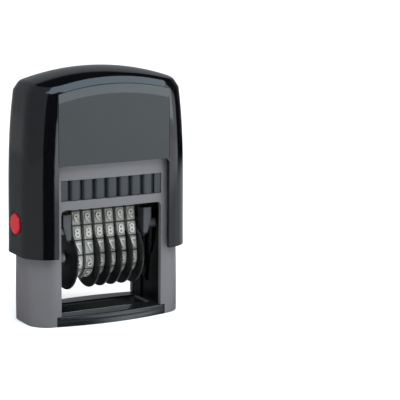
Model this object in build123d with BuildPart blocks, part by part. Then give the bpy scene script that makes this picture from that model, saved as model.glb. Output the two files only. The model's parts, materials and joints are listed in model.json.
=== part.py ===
from build123d import *
from math import atan2, cos, degrees, pi, sin
import os

# Self-inking band numberer, standing on its foot.
# Frame: X across the front, -Y towards the front, +Z up; the origin is on the desk,
# under the middle of the foot.  All lengths are millimetres.
# Widths grow outwards from the number bands, depths from the thumb wheels,
# and heights upwards from the sight window and the stroke.

# ---------------------------------------------------------------- driving dimensions
# Press travel
stroke = 24.0

# Number bands
band_count = 6
band_pitch = 4.9
band_gap = 0.9                  # between neighbouring bands
band_thickness = 1.1
type_height = 0.8
type_shoulder = 0.2             # band edge to the side of its characters
type_gap = 0.6                  # between characters along the band
type_positions = 14
type_touch_gap = 0.3            # type to felt with the cap up
paper_gap = 0.05                # type to paper with the cap down
nose_flat_half = 2.6            # half of the flat printing face
nose_corner = 2.0               # corner radius of the band's back at the nose
drum_band_radius = 8.1          # band's outside on the drum, without its type

# Thumb wheels
wheel_radius = 12.9
axle_drop = 12.55               # axle below the carrier's pivot
disc_gap = 0.1                  # disc to the bands beside it
knurl_count = 40
knurl_depth = 0.35
drum_flutes = 8
drum_flute_radius = 0.7
drum_gap = 0.3
axle_radius = 1.6
axle_chamfer = 0.25
running_gap = 0.05

# Carrier
cheek_gap = 1.15                # end wheel to cheek
cheek_thickness = 3.55
cheek_wing = 9.8                # reach of the cheek's wings
cheek_wing_top = 6.9            # above the pivot, like the next
cheek_wing_low = -3.5
cheek_waist = 8.0
cheek_waist_drop = 5.2
cheek_taper = 2.4               # the outer side comes in by this much,
cheek_taper_start = 2.3         # from here above the pivot to the cheek's lower end
cheek_shoulder = 5.0
cheek_shoulder_rise = 9.0
cheek_edge = 1.2
cheek_foot = 3.7                # half width of the cheek's lower end
pivot_boss = 3.8
pivot_radius = 1.6
arm_side_gap = 0.1              # end wheel to the carrier's axle arm
arm_thickness = 1.0
arm_boss = 4.2
arm_half_width = 3.0
axle_left_end = 0.3             # axle outside its left clip
axle_right_end = 0.25           # and outside its right clip
clip_thickness = 0.5
clip_reach = 1.2
bridge_gap = 2.05               # wheels to the underside of the bar above them
fin_gap = 0.15                  # band to the fin beside it
fin_inset = 0.5

# Guide walls and the turning gear
window_side_gap = 2.55          # cheek to the window's edge
guide_gap = 0.2                 # window edge to guide wall
guide_thickness = 2.0
guide_fit = 0.05
pin_arm = 7.5                   # turning pins stand this far from the pivot
pin_radius = 1.5
pin_collar = 0.5                # step around the pin's root
pin_gap = 0.15
cam_depth = 1.2
cam_floor_gap = 0.2
slot_gap = 0.5                  # pivot pin to the upright slot's sides
gutter_gap = 0.6                # pivot boss to the gutter's sides
gutter_depth = 0.6
gutter_end = 5.0                # gutter's upper end above the pivot
boss_side_gap = 0.3

# Stirrup
stirrup_thickness = 1.6
stirrup_side_gap = 0.9          # guide wall to stirrup arm
stirrup_half_depth = 5.0
stirrup_headroom = 1.8          # base's rim to the stirrup with the cap down
stirrup_eye = 5.0
stirrup_ring = 2.5              # metal around the spring's hole
stake_inset = 5.5               # stake's middle inside the guide wall
stake_radius = 1.6
stake_shoulder = 3.2
stake_length = 5.9              # stirrup to the cap's roof
stake_head = 0.8                # stake's end below the stirrup
pin_head_radius = 2.8
pin_head = 1.0
pin_head_chamfer = 0.35

# Return spring
spring_radius = 4.6             # to the middle of the wire
spring_wire = 0.5
spring_turns = 8
spring_post_gap = 0.35
spring_post_height = 4.0
spring_seat_drop = 0.8          # roof boss below the inside of the roof
spring_hole_gap = 1.5
spring_clear = 0.05

# Base
window_height = 46.8            # underside of the crossbar
window_corner = 2.0
crossbar_height = 3.5
pad_slot_height = 8.3
deck_thickness = 2.0
base_rim = 5.4                  # walls standing up around the deck
base_wall = 2.0
base_side_gap = 2.9             # pivot pin's head to the wall
base_face_gap = 0.5             # wheels' rims behind the base's front face
base_waist = 30.0               # the sides are nearly upright up to here
base_spread = 0.3               # wider at the desk than at the waist, each side
base_lean = 1.7                 # narrower at the top than at the waist, each side
base_corner = 9.0
base_inner_corner = 4.0
base_edge = 0.3                 # chamfer along the bottom edge
front_bulge = 0.7               # crossbar and upper beam curve forward by this much

# Foot
foot_height = 3.9
foot_step = 2.0                 # height of the foot's lower step
foot_rail = 1.9                 # foot's end bar each side of the window's edge
foot_bow = 2.8                  # foot's middle in front of the base
foot_step_back = 1.2
foot_nose_gap = 1.3             # type to the edge of the foot's opening
foot_edge = 0.7
foot_side_fit = 0.15

# Cap
cap_side_gap = 1.3              # base's waist to the cap's inner wall
cap_depth_gap = 0.4             # crossbar's bulge to the cap's inner wall
cap_rim_gap = 0.1               # foot to the cap's rim with the cap down
cap_wall = 1.7
cap_roof = 2.4
cap_corner = 11.5
cap_waist_rise = 32.0           # rim to where the sides begin to lean in
cap_waist_lean = 0.3            # half widths lost there,
cap_chest_drop = 19.7
cap_chest_lean = 1.4            # this far below the top,
cap_top_lean = 4.3              # and at the top
arch_radius = 97.0              # of the arched top, seen from the front
crown_radius = 50.0             # of the same top, seen from the side
cutout_margin = 2.2             # window's edge to the cap's cutout
cutout_cover = 1.3              # the cutout ends this far below the base's rim
cutout_corner = 2.0
bevel_height = 2.7              # the sloping band all around the top
bevel_reach = 2.0
cap_edge = 3.0                  # rounding above the sloping band

# Fascia plates let into the front and back of the cap
fascia_thickness = 0.9
fascia_gap = 0.12
fascia_below_bevel = 0.2        # fascia's arched top to the sloping band

# Ink cartridge
cartridge_side_gap = 0.2
cartridge_set_back = 0.4        # cartridge's ribs behind the base's face
cartridge_wall = 1.4
cartridge_floor = 1.0
cartridge_gap = 0.1
rib_count = 9
rib_end = 3.3                   # width of each end rib to the middle of its groove
rib_groove = 1.2
rib_groove_depth = 1.0
pad_side = 2.7                  # felt's end to the cartridge's wall
pad_margin = 3.0                # felt in front of and behind the printing face
pad_thickness = 4.5
pad_recess = 0.4                # the felt's face lies this far above the cartridge's underside
pad_fit = 0.15

# Side buttons
button_rise = 12.5              # middle of the button above the cap's rim
button_radius = 4.1
button_gap = 0.1
button_proud = 0.5
button_travel = 0.45
button_flange = 0.5
button_flange_rim = 0.7
button_edge = 0.4
button_nose_radius = 2.0
leaf_thickness = 0.15
leaf_half_width = 2.2
leaf_gap = 0.2                  # leaf to the cap's inner wall at its rim
leaf_room = 0.3                 # around the leaf, where the wall comes in farther
leaf_pad = 2.0                  # length of the pad under each end of the leaf
leaf_pad_root = 0.65            # pads reach this far into the wall
leaf_span = 2.2                 # button's flange to the pad
bezel_rim = 1.1
bezel_depth = 0.3

# ---------------------------------------------------------------- derived places
# Widths, from the bands outwards
band_width = band_pitch - band_gap
type_width = band_width - 2 * type_shoulder
disc_thickness = band_gap - 2 * disc_gap
fin_thickness = band_gap - 2 * fin_gap
band_xs = [(k - (band_count - 1) / 2) * band_pitch for k in range(band_count)]
wheel_edge = band_xs[-1] + band_pitch / 2 + disc_thickness / 2
cheek_in = wheel_edge + cheek_gap
cheek_out = cheek_in + cheek_thickness
axle_arm_in = wheel_edge + arm_side_gap
window_half_width = cheek_out + window_side_gap
guide_in = window_half_width + guide_gap
guide_out = guide_in + guide_thickness
arm_in = guide_out + stirrup_side_gap
arm_out = arm_in + stirrup_thickness
stake_span = guide_in - stake_inset
base_waist_half_width = arm_out + pin_head + base_side_gap + base_wall
base_half_width = base_waist_half_width + base_spread
base_top_half_width = base_waist_half_width - base_lean
cap_half_width = base_waist_half_width + cap_side_gap + cap_wall
cap_waist_half_width = cap_half_width - cap_waist_lean
cap_chest_half_width = cap_half_width - cap_chest_lean
cap_top_half_width = cap_half_width - cap_top_lean
foot_half_width = window_half_width + foot_rail
foot_opening_half_width = window_half_width - foot_rail
cutout_half_width = window_half_width + cutout_margin
cartridge_half_width = window_half_width - cartridge_side_gap
rib_pitch = 2 * (cartridge_half_width - rib_end) / (rib_count - 2)
pad_half_width = cartridge_half_width - cartridge_wall - pad_side
leaf_face = cap_half_width - cap_wall - leaf_gap
button_shoulder = cap_half_width - cap_wall + button_flange + button_travel

# Depths, from the wheels and the printing face
base_half_depth = wheel_radius + base_face_gap
wall_in = base_half_depth - base_wall
cap_half_depth = base_half_depth + front_bulge + cap_depth_gap + cap_wall
foot_end_reach = base_half_depth
foot_reach = base_half_depth + foot_bow
cartridge_half_depth = base_half_depth - cartridge_set_back
nose_half_depth = nose_flat_half + nose_corner
pad_half_depth = nose_half_depth + pad_margin
foot_opening_half_depth = nose_half_depth + type_height + foot_nose_gap
slot_half_width = pivot_radius + slot_gap
gutter_half_width = pivot_boss + gutter_gap
stirrup_hole = spring_radius + spring_wire + spring_hole_gap
leaf_half_length = button_radius + button_flange_rim + leaf_span + leaf_pad

# Heights, upwards from the window and the stroke
crossbar_top = window_height + crossbar_height
slot_top = crossbar_top + pad_slot_height
deck_top = slot_top + deck_thickness
base_height = deck_top + base_rim
cartridge_bottom = crossbar_top + cartridge_gap
cartridge_top = slot_top - cartridge_gap
pad_face = cartridge_bottom + pad_recess
cap_rim = foot_height + cap_rim_gap + stroke
button_height = cap_rim + button_rise
cutout_top = base_height - cutout_cover
stirrup_top = base_height + stroke + stirrup_headroom + stirrup_thickness
roof_inside = stirrup_top + stake_length
spring_seat = roof_inside - spring_seat_drop
cap_top = roof_inside + cap_roof
cap_waist = cap_rim + cap_waist_rise
cap_chest = cap_top - cap_chest_drop
front_edge = cap_top - crown_radius + (crown_radius**2 - cap_half_depth**2) ** 0.5
bevel_start = front_edge - bevel_height

# The type meets the felt with the cap up and the paper with the cap down.
pivot_height = (pad_face - type_touch_gap + stroke + paper_gap) / 2
reach = (pad_face - type_touch_gap - stroke - paper_gap) / 2
axle_height = pivot_height - axle_drop
drum_radius = drum_band_radius - band_thickness - drum_gap
bridge_floor = wheel_radius - axle_drop + bridge_gap

far = 300.0                     # longer than anything here, for cutting right through


def rounded_plan(half_width, half_depth, corner, height):
    """A level rounded rectangle, for lofting between."""
    with BuildSketch(Plane.XY.offset(height)) as plan:
        RectangleRounded(2 * half_width, 2 * half_depth, corner)
    return plan.sketch


def cap_sections(inset):
    """The cap's level sections, all taken in by the same wall."""
    corner = cap_corner - inset
    depth = cap_half_depth - inset
    return [
        rounded_plan(cap_half_width - inset, depth, corner, cap_rim),
        rounded_plan(cap_waist_half_width - inset, depth, corner, cap_waist),
        rounded_plan(cap_chest_half_width - inset, depth, corner, cap_chest),
        rounded_plan(cap_top_half_width - inset, depth, corner, cap_top),
    ]


def base_sections(inset, corner):
    """The base's level sections, all taken in by the same wall."""
    depth = base_half_depth - inset
    return [
        rounded_plan(base_half_width - inset, depth, corner, 0),
        rounded_plan(base_waist_half_width - inset, depth, corner, base_waist),
        rounded_plan(base_top_half_width - inset, depth, corner, base_height),
    ]


def on_carrier(x, y, z):
    """A point given from the carrier's pivot."""
    return (x, y, pivot_height + z)


# ---------------------------------------------------------------- base frame
with BuildPart() as base_frame:
    loft(base_sections(0, base_corner))
    chamfer(base_frame.edges().group_by(Axis.Z)[0], base_edge)
    with BuildSketch(Plane.XY.offset(window_height)) as bar_bulge:
        with BuildLine():
            ThreePointArc(
                (-window_half_width, -base_half_depth),
                (0, -base_half_depth - front_bulge),
                (window_half_width, -base_half_depth),
            )
            Line((window_half_width, -base_half_depth), (window_half_width, base_half_depth))
            ThreePointArc(
                (window_half_width, base_half_depth),
                (0, base_half_depth + front_bulge),
                (-window_half_width, base_half_depth),
            )
            Line((-window_half_width, base_half_depth), (-window_half_width, -base_half_depth))
        make_face()
    extrude(amount=base_height - window_height)
    loft(base_sections(base_wall, base_inner_corner), mode=Mode.SUBTRACT)
    with BuildSketch(Plane.XY.offset(slot_top)):
        Rectangle(2 * guide_out, 2 * wall_in)
    extrude(amount=deck_thickness)
    with BuildSketch(Plane.XY.offset(deck_top)):
        Circle(spring_radius - spring_wire - spring_post_gap)
    extrude(amount=spring_post_height)
    with BuildSketch(Plane.XZ):
        with BuildLine():
            low = -base_edge
            top = window_height
            half = window_half_width
            Line((-half, low), (half, low))
            Line((half, low), (half, top - window_corner))
            RadiusArc((half, top - window_corner), (half - window_corner, top), -window_corner)
            Line((half - window_corner, top), (window_corner - half, top))
            RadiusArc((window_corner - half, top), (-half, top - window_corner), -window_corner)
            Line((-half, top - window_corner), (-half, low))
        make_face()
        with Locations((0, (crossbar_top + slot_top) / 2)):
            Rectangle(2 * window_half_width, pad_slot_height)
        with Locations((0, foot_height / 2)):
            Rectangle(2 * (foot_half_width + guide_fit), foot_height + 2 * guide_fit)
    extrude(amount=far, both=True, mode=Mode.SUBTRACT)

base_frame.part.label = "base_frame"
export_step(base_frame.part, "parts/base_frame.step")


# ---------------------------------------------------------------- foot frame
def foot_plan(step_back, height):
    """The foot from above, its front and back edges bowed outwards."""
    end = foot_end_reach - step_back / 2
    middle = foot_reach - step_back
    with BuildSketch(Plane.XY.offset(height)) as plan:
        with BuildLine():
            ThreePointArc((-foot_half_width, -end), (0, -middle), (foot_half_width, -end))
            Line((foot_half_width, -end), (foot_half_width, end))
            ThreePointArc((foot_half_width, end), (0, middle), (-foot_half_width, end))
            Line((-foot_half_width, end), (-foot_half_width, -end))
        make_face()
    return plan.sketch


with BuildPart() as foot_frame:
    extrude(foot_plan(0, 0), amount=foot_step)
    extrude(foot_plan(foot_step_back, foot_step), amount=foot_height - foot_step)
    bowed = foot_frame.edges().filter_by(GeomType.CIRCLE)
    fillet(bowed.filter_by_position(Axis.Z, foot_height - 0.1, foot_height + 0.1), foot_edge)
    with BuildSketch(Plane.XY):
        RectangleRounded(
            2 * (base_half_width - base_wall - foot_side_fit),
            2 * (wall_in - guide_fit),
            base_inner_corner,
        )
    extrude(amount=foot_height)
    with BuildSketch(Plane.XY):
        RectangleRounded(2 * foot_opening_half_width, 2 * foot_opening_half_depth, window_corner)
    extrude(amount=foot_height, mode=Mode.SUBTRACT)
    chamfer(foot_frame.edges().group_by(Axis.Z)[-1].filter_by(
        lambda e: abs(e.center().X) < foot_opening_half_width + guide_fit
        and abs(e.center().Y) < foot_opening_half_depth + guide_fit), foot_edge)

foot_frame.part.label = "foot_frame"
export_step(foot_frame.part, "parts/foot_frame.step")


# ---------------------------------------------------------------- guide walls
def turning_path(turn):
    """Where a turning pin lies, as (y, z), when the carrier has turned by this many radians."""
    return (-pin_arm * cos(turn), pivot_height - stroke * turn / pi - pin_arm * sin(turn))


def turning_side(turn, side):
    """The same, moved square to the path by half the groove's width."""
    half = pin_radius + pin_gap
    dy = pin_arm * sin(turn)
    dz = -stroke / pi - pin_arm * cos(turn)
    length = (dy**2 + dz**2) ** 0.5
    y, z = turning_path(turn)
    return (y - side * half * dz / length, z + side * half * dy / length)


for hand, side in (("left", -1), ("right", 1)):
    inner = Plane(origin=(side * guide_in, 0, 0), x_dir=(0, 1, 0), z_dir=(1, 0, 0))
    with BuildPart() as guide_wall:
        with BuildSketch(inner):
            with Locations((0, (foot_height + slot_top) / 2)):
                Rectangle(2 * (wall_in - guide_fit), slot_top - foot_height)
        extrude(amount=side * guide_thickness)
        with BuildSketch(inner):
            gutter_top = pivot_height + gutter_end
            with Locations((0, (foot_height + gutter_top) / 2)):
                Rectangle(2 * gutter_half_width, gutter_top - foot_height)
        extrude(amount=side * gutter_depth, mode=Mode.SUBTRACT)
        with BuildSketch(inner):
            with Locations((0, pivot_height - stroke / 2)):
                SlotCenterToCenter(stroke, 2 * slot_half_width, rotation=90)
        extrude(amount=side * guide_thickness, mode=Mode.SUBTRACT)
        with BuildSketch(inner):
            turns = [pi * n / 12 for n in range(13)]
            with BuildLine():
                one = Spline([turning_side(t, 1) for t in turns])
                other = Spline([turning_side(t, -1) for t in turns])
                Line(one @ 0, other @ 0)
                Line(one @ 1, other @ 1)
            make_face()
            with Locations(turning_path(0), turning_path(pi)):
                Circle(pin_radius + pin_gap)
        extrude(amount=side * cam_depth, mode=Mode.SUBTRACT)
    guide_wall.part.label = f"guide_wall_{hand}"
    export_step(guide_wall.part, f"parts/guide_wall_{hand}.step")


# ---------------------------------------------------------------- ink cartridge
with BuildPart() as pad_cartridge:
    with BuildSketch(Plane.XY.offset(cartridge_bottom)):
        Rectangle(2 * cartridge_half_width, 2 * cartridge_half_depth)
    extrude(amount=cartridge_top - cartridge_bottom)
    with BuildSketch(Plane.XY.offset(cartridge_bottom + cartridge_floor)):
        Rectangle(
            2 * (cartridge_half_width - cartridge_wall),
            2 * (cartridge_half_depth - cartridge_wall - rib_groove_depth),
        )
    extrude(amount=cartridge_top - cartridge_bottom, mode=Mode.SUBTRACT)
    with BuildSketch(Plane.XY.offset(cartridge_bottom)):
        Rectangle(2 * (pad_half_width - cartridge_wall), 2 * (pad_half_depth - cartridge_wall / 2))
    extrude(amount=cartridge_floor, mode=Mode.SUBTRACT)
    with BuildSketch(Plane.XY.offset(cartridge_bottom)):
        groove_y = cartridge_half_depth - rib_groove_depth / 2
        for row in (-1, 1):
            with Locations((0, row * groove_y)):
                with GridLocations(rib_pitch, 1, rib_count - 1, 1):
                    Rectangle(rib_groove, rib_groove_depth)
    extrude(amount=cartridge_top - cartridge_bottom, mode=Mode.SUBTRACT)

pad_cartridge.part.label = "pad_cartridge"
export_step(pad_cartridge.part, "parts/pad_cartridge.step")

with BuildPart() as ink_pad:
    with BuildSketch(Plane.XY.offset(cartridge_bottom + cartridge_floor)):
        Rectangle(2 * pad_half_width, 2 * pad_half_depth)
    extrude(amount=pad_thickness)
    with BuildSketch(Plane.XY.offset(pad_face)):
        Rectangle(
            2 * (pad_half_width - cartridge_wall - pad_fit),
            2 * (pad_half_depth - cartridge_wall / 2 - pad_fit),
        )
    extrude(amount=cartridge_floor)

ink_pad.part.label = "ink_pad"
export_step(ink_pad.part, "parts/ink_pad.step")


# ---------------------------------------------------------------- cap
def cap_solid(inset, drop):
    """Shape the part in hand like the cap, taken in by a wall and lowered by a roof."""
    loft(cap_sections(inset))
    middle = cap_top - arch_radius
    reach_back = cap_half_depth + cap_wall
    crown = crown_radius - drop
    end = cap_top - drop - crown + (crown**2 - reach_back**2) ** 0.5
    with BuildSketch(Plane.YZ) as crowned:
        with BuildLine():
            ThreePointArc((-reach_back, end), (0, cap_top - drop), (reach_back, end))
            Line((reach_back, end), (reach_back, middle))
            Line((reach_back, middle), (-reach_back, middle))
            Line((-reach_back, middle), (-reach_back, end))
        make_face()
    revolve(crowned.sketch, axis=Axis((0, 0, middle), (0, 1, 0)), mode=Mode.INTERSECT)


def bevel_crown():
    """Slope off the edge all around the top of the part in hand."""
    crown = faces().sort_by(Axis.Z)[-1]
    chamfer(crown.edges(), bevel_reach, bevel_height, reference=crown)


def fascia_outline(gap):
    """The fascia plate seen from the front: straight below, arched above."""
    half = cutout_half_width - gap
    top = bevel_start - fascia_below_bevel - gap
    drop = arch_radius - (arch_radius**2 - half**2) ** 0.5
    with BuildSketch() as outline:
        with BuildLine():
            Line((-half, cutout_top), (half, cutout_top))
            Line((half, cutout_top), (half, top - drop))
            ThreePointArc((half, top - drop), (0, top), (-half, top - drop))
            Line((-half, top - drop), (-half, cutout_top))
        make_face()
    return outline.sketch


with BuildPart() as cap_hollow:
    cap_solid(cap_wall, cap_roof)
    bevel_crown()

with BuildPart() as cap_shell:
    cap_solid(0, 0)
    bevel_crown()
    fillet(cap_shell.faces().sort_by(Axis.Z)[-1].edges(), cap_edge)
    add(cap_hollow.part, mode=Mode.SUBTRACT)
    with BuildSketch(Plane.XZ):
        with BuildLine():
            low = cap_rim - cap_wall
            top = cutout_top
            half = cutout_half_width
            Line((-half, low), (half, low))
            Line((half, low), (half, top - cutout_corner))
            RadiusArc((half, top - cutout_corner), (half - cutout_corner, top), -cutout_corner)
            Line((half - cutout_corner, top), (cutout_corner - half, top))
            RadiusArc((cutout_corner - half, top), (-half, top - cutout_corner), -cutout_corner)
            Line((-half, top - cutout_corner), (-half, low))
        make_face()
    extrude(amount=far, both=True, mode=Mode.SUBTRACT)

    # Recesses for the fascia plates
    for side in (-1, 1):
        with BuildSketch(Plane.XZ.offset(-side * cap_half_depth)):
            add(fascia_outline(0))
        extrude(amount=side * fascia_thickness, mode=Mode.SUBTRACT)
    # Roof boss and the pin that centres the return spring
    with BuildSketch(Plane.XY.offset(spring_seat)):
        Circle(spring_radius + spring_wire + spring_post_gap)
    extrude(amount=cap_roof)
    with BuildSketch(Plane.XY.offset(spring_seat - spring_post_height)):
        Circle(spring_radius - spring_wire - spring_post_gap)
    extrude(amount=spring_post_height)
    # Shouldered stakes that hold the stirrup
    with BuildSketch(Plane.XY.offset(stirrup_top)):
        with Locations((-stake_span, 0), (stake_span, 0)):
            Circle(stake_shoulder)
    extrude(amount=roof_inside - stirrup_top)
    with BuildSketch(Plane.XY.offset(stirrup_top - stirrup_thickness - stake_head)):
        with Locations((-stake_span, 0), (stake_span, 0)):
            Circle(stake_radius)
    extrude(amount=stirrup_thickness + stake_head)
    # Side buttons: hole, outer dish, pocket for the flange, and room and pads for the leaf
    for side in (-1, 1):
        out = Plane(origin=(side * cap_half_width, 0, button_height), x_dir=(0, 1, 0), z_dir=(side, 0, 0))
        with BuildSketch(out):
            Circle(button_radius + button_gap)
        extrude(amount=-2 * cap_wall, mode=Mode.SUBTRACT)
        with BuildSketch(out.offset(-bezel_depth)):
            Circle(button_radius + bezel_rim)
        extrude(amount=cap_wall, mode=Mode.SUBTRACT)
        with BuildSketch(out.offset(button_shoulder - cap_half_width)):
            Circle(button_radius + button_flange_rim + button_gap)
        extrude(amount=-cap_wall, mode=Mode.SUBTRACT)
        behind_leaf = out.offset(leaf_face - cap_half_width)
        with BuildSketch(behind_leaf):
            Rectangle(2 * (leaf_half_width + leaf_room), 2 * (leaf_half_length + leaf_room))
        extrude(amount=-leaf_thickness - button_travel - leaf_room, mode=Mode.SUBTRACT)
        with BuildSketch(behind_leaf):
            with GridLocations(1, 2 * leaf_half_length - leaf_pad, 1, 2):
                Rectangle(2 * leaf_half_width, leaf_pad)
        extrude(amount=leaf_gap + leaf_pad_root)

cap_shell.part.label = "cap_shell"
export_step(cap_shell.part, "parts/cap_shell.step")

for name, side in (("front_fascia", -1), ("back_fascia", 1)):
    with BuildPart() as fascia:
        with BuildSketch(Plane.XZ.offset(-side * cap_half_depth)):
            add(fascia_outline(fascia_gap))
        extrude(amount=side * fascia_thickness)
    fascia.part.label = name
    export_step(fascia.part, f"parts/{name}.step")


# ---------------------------------------------------------------- stirrup
with BuildPart() as stirrup:
    with BuildSketch(Plane.XZ) as bow:
        with Locations((0, stirrup_top - stirrup_thickness / 2)):
            Rectangle(2 * arm_out, stirrup_thickness)
        low = pivot_height - stirrup_eye
        for side in (-1, 1):
            with Locations((side * (arm_in + arm_out) / 2, (low + stirrup_top) / 2)):
                Rectangle(stirrup_thickness, stirrup_top - low)
    extrude(amount=stirrup_half_depth, both=True)
    outer = stirrup.edges().filter_by(Axis.Y).group_by(Axis.Z)[-1]
    fillet(outer, stirrup_thickness)
    with BuildSketch(Plane.XY.offset(stirrup_top - stirrup_thickness)):
        Circle(stirrup_hole + stirrup_ring)
    extrude(amount=stirrup_thickness)
    with BuildSketch(Plane.XY.offset(stirrup_top - stirrup_thickness)):
        Circle(stirrup_hole)
        with Locations((-stake_span, 0), (stake_span, 0)):
            Circle(stake_radius + running_gap)
    extrude(amount=stirrup_thickness, mode=Mode.SUBTRACT)
    with BuildSketch(Plane.YZ):
        with Locations((0, pivot_height)):
            Circle(pivot_radius + running_gap)
    extrude(amount=far, both=True, mode=Mode.SUBTRACT)
    ends = stirrup.edges().filter_by(Axis.X).group_by(Axis.Z)[0]
    fillet(ends, stirrup_eye - pivot_radius)

stirrup.part.label = "stirrup"
export_step(stirrup.part, "parts/stirrup.step")

for hand, side in (("left", -1), ("right", 1)):
    with BuildPart() as pivot_pin:
        with BuildSketch(Plane(origin=(side * cheek_in, 0, pivot_height), z_dir=(side, 0, 0))):
            Circle(pivot_radius)
        extrude(amount=arm_out - cheek_in)
        with BuildSketch(Plane(origin=(side * arm_out, 0, pivot_height), z_dir=(side, 0, 0))):
            Circle(pin_head_radius)
        extrude(amount=pin_head)
        chamfer(pivot_pin.edges().group_by(Axis.X)[0 if side < 0 else -1], pin_head_chamfer)
    pivot_pin.part.label = f"pivot_pin_{hand}"
    export_step(pivot_pin.part, f"parts/pivot_pin_{hand}.step")


# ---------------------------------------------------------------- springs
with BuildPart() as return_spring:
    low = deck_top + spring_clear + spring_wire
    high = spring_seat - spring_clear - spring_wire
    with BuildLine() as wire_path:
        Helix((high - low) / spring_turns, high - low, spring_radius, center=(0, 0, low))
    with BuildSketch(Plane(origin=wire_path.line @ 0, z_dir=wire_path.line % 0)):
        Circle(spring_wire)
    sweep()

return_spring.part.label = "return_spring"
export_step(return_spring.part, "parts/return_spring.step")

for hand, side in (("left", -1), ("right", 1)):
    with BuildPart() as button_leaf:
        with BuildSketch(Plane.XZ):
            with Locations((side * (leaf_face - leaf_thickness / 2), button_height)):
                Rectangle(leaf_thickness, 2 * leaf_half_length)
        extrude(amount=leaf_half_width, both=True)
    button_leaf.part.label = f"button_leaf_{hand}"
    export_step(button_leaf.part, f"parts/button_leaf_{hand}.step")


# ---------------------------------------------------------------- side buttons
for hand, side in (("left", -1), ("right", 1)):
    with BuildPart() as button:
        face = Plane(
            origin=(side * (cap_half_width + button_proud), 0, button_height),
            x_dir=(0, 1, 0), z_dir=(side, 0, 0),
        )
        shoulder = button_shoulder - cap_half_width - button_proud
        with BuildSketch(face):
            Circle(button_radius)
        extrude(amount=shoulder)
        fillet(button.edges().group_by(Axis.X)[0 if side < 0 else -1], button_edge)
        with BuildSketch(face.offset(shoulder)):
            Circle(button_radius + button_flange_rim)
        extrude(amount=-button_flange)
        with BuildSketch(face.offset(shoulder - button_flange)):
            Circle(button_nose_radius)
        extrude(amount=leaf_face - button_shoulder + button_flange)
    button.part.label = f"button_{hand}"
    export_step(button.part, f"parts/button_{hand}.step")


# ---------------------------------------------------------------- carrier
def belt_hull(growth):
    """A loop around the nose and the drum, in (y, z) from the pivot, grown outwards."""
    nose_centre = reach - type_height - nose_corner
    with BuildSketch() as loop:
        with Locations((-nose_flat_half, nose_centre), (nose_flat_half, nose_centre)):
            Circle(nose_corner + growth)
        with Locations((0, -axle_drop)):
            Circle(drum_band_radius + growth)
        make_hull()
    return loop.sketch


def side_plane(x):
    """The plane at this x that faces +X, with the pivot at its origin."""
    return Plane(origin=on_carrier(x, 0, 0), x_dir=(0, 1, 0), z_dir=(1, 0, 0))


for hand, side in (("left", -1), ("right", 1)):
    with BuildPart() as cheek:
        with BuildSketch(side_plane(side * cheek_in)):
            with BuildLine():
                top = cheek_shoulder_rise
                right = [
                    (cheek_shoulder - cheek_edge, top),
                    (cheek_shoulder, top - cheek_edge),
                    (cheek_shoulder, cheek_wing_top),
                    (cheek_wing, cheek_wing_top),
                    (cheek_wing, cheek_wing_low),
                    (cheek_waist, -cheek_waist_drop),
                    (cheek_foot, -cheek_waist_drop - cheek_edge),
                ]
                left = [(-y, z) for y, z in reversed(right)]
                Polyline(*right, *left, close=True)
            make_face()
        extrude(amount=side * cheek_thickness)
        with BuildSketch(Plane.XZ.offset(-cheek_wing)):
            start = pivot_height + cheek_taper_start
            end = pivot_height - cheek_waist_drop - cheek_edge
            Polygon(
                (side * cheek_out, start), (side * cheek_out, end),
                (side * (cheek_out - cheek_taper), end), align=None,
            )
        extrude(amount=2 * cheek_wing, mode=Mode.SUBTRACT)
        with BuildSketch(side_plane(side * cheek_in)):
            Circle(pivot_boss)
            with Locations((-pin_arm, 0)):
                Circle(pin_radius + pin_collar)
        extrude(amount=side * (guide_in - boss_side_gap - cheek_in))
        with BuildSketch(side_plane(side * cheek_in)):
            with Locations((-pin_arm, 0)):
                Circle(pin_radius)
        extrude(amount=side * (guide_in + cam_depth - cam_floor_gap - cheek_in))
        with BuildSketch(side_plane(side * cheek_in)):
            Circle(pivot_radius + running_gap)
        extrude(amount=side * far, mode=Mode.SUBTRACT)
    cheek.part.label = f"carrier_cheek_{hand}"
    export_step(cheek.part, f"parts/carrier_cheek_{hand}.step")


with BuildPart() as carrier_frame:
    # The bar inside the bands' noses, with a thin fin between each two bands
    cut = bridge_floor - axle_drop - 2 * drum_band_radius
    with BuildSketch(side_plane(-cheek_in)):
        add(belt_hull(-band_thickness - running_gap))
        with Locations((0, (cut + bridge_floor) / 2)):
            Rectangle(far, bridge_floor - cut, mode=Mode.SUBTRACT)
    extrude(amount=2 * cheek_in)
    for x in band_xs[:-1]:
        with BuildSketch(side_plane(x + band_pitch / 2 - fin_thickness / 2)):
            add(belt_hull(type_height - fin_inset))
            with Locations((0, (cut + bridge_floor) / 2)):
                Rectangle(far, bridge_floor - cut, mode=Mode.SUBTRACT)
        extrude(amount=fin_thickness)
    # Two arms reach down to the axle: one beside the first band, one outside the last wheel
    for x, thickness in ((band_xs[0] + band_pitch / 2 - fin_thickness / 2, fin_thickness),
                         (axle_arm_in, arm_thickness)):
        with BuildSketch(side_plane(x)):
            with Locations((0, (bridge_floor + cheek_edge - axle_drop) / 2)):
                Rectangle(2 * arm_half_width, axle_drop + bridge_floor + cheek_edge)
            with Locations((0, -axle_drop)):
                Circle(arm_boss)
                Circle(axle_radius + running_gap, mode=Mode.SUBTRACT)
        extrude(amount=thickness)

carrier_frame.part.label = "carrier_frame"
export_step(carrier_frame.part, "parts/carrier_frame.step")

# The axle is longer on the right, where it also passes through an arm.
axle_left = -wheel_edge - disc_gap - clip_thickness - axle_left_end
axle_right = axle_arm_in + arm_thickness + clip_thickness + axle_right_end
with BuildPart() as wheel_axle:
    with BuildSketch(Plane(origin=(axle_left, 0, axle_height), z_dir=(1, 0, 0))):
        Circle(axle_radius)
    extrude(amount=axle_right - axle_left)
    chamfer(wheel_axle.edges().filter_by(GeomType.CIRCLE), axle_chamfer)

wheel_axle.part.label = "wheel_axle"
export_step(wheel_axle.part, "parts/wheel_axle.step")

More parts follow.
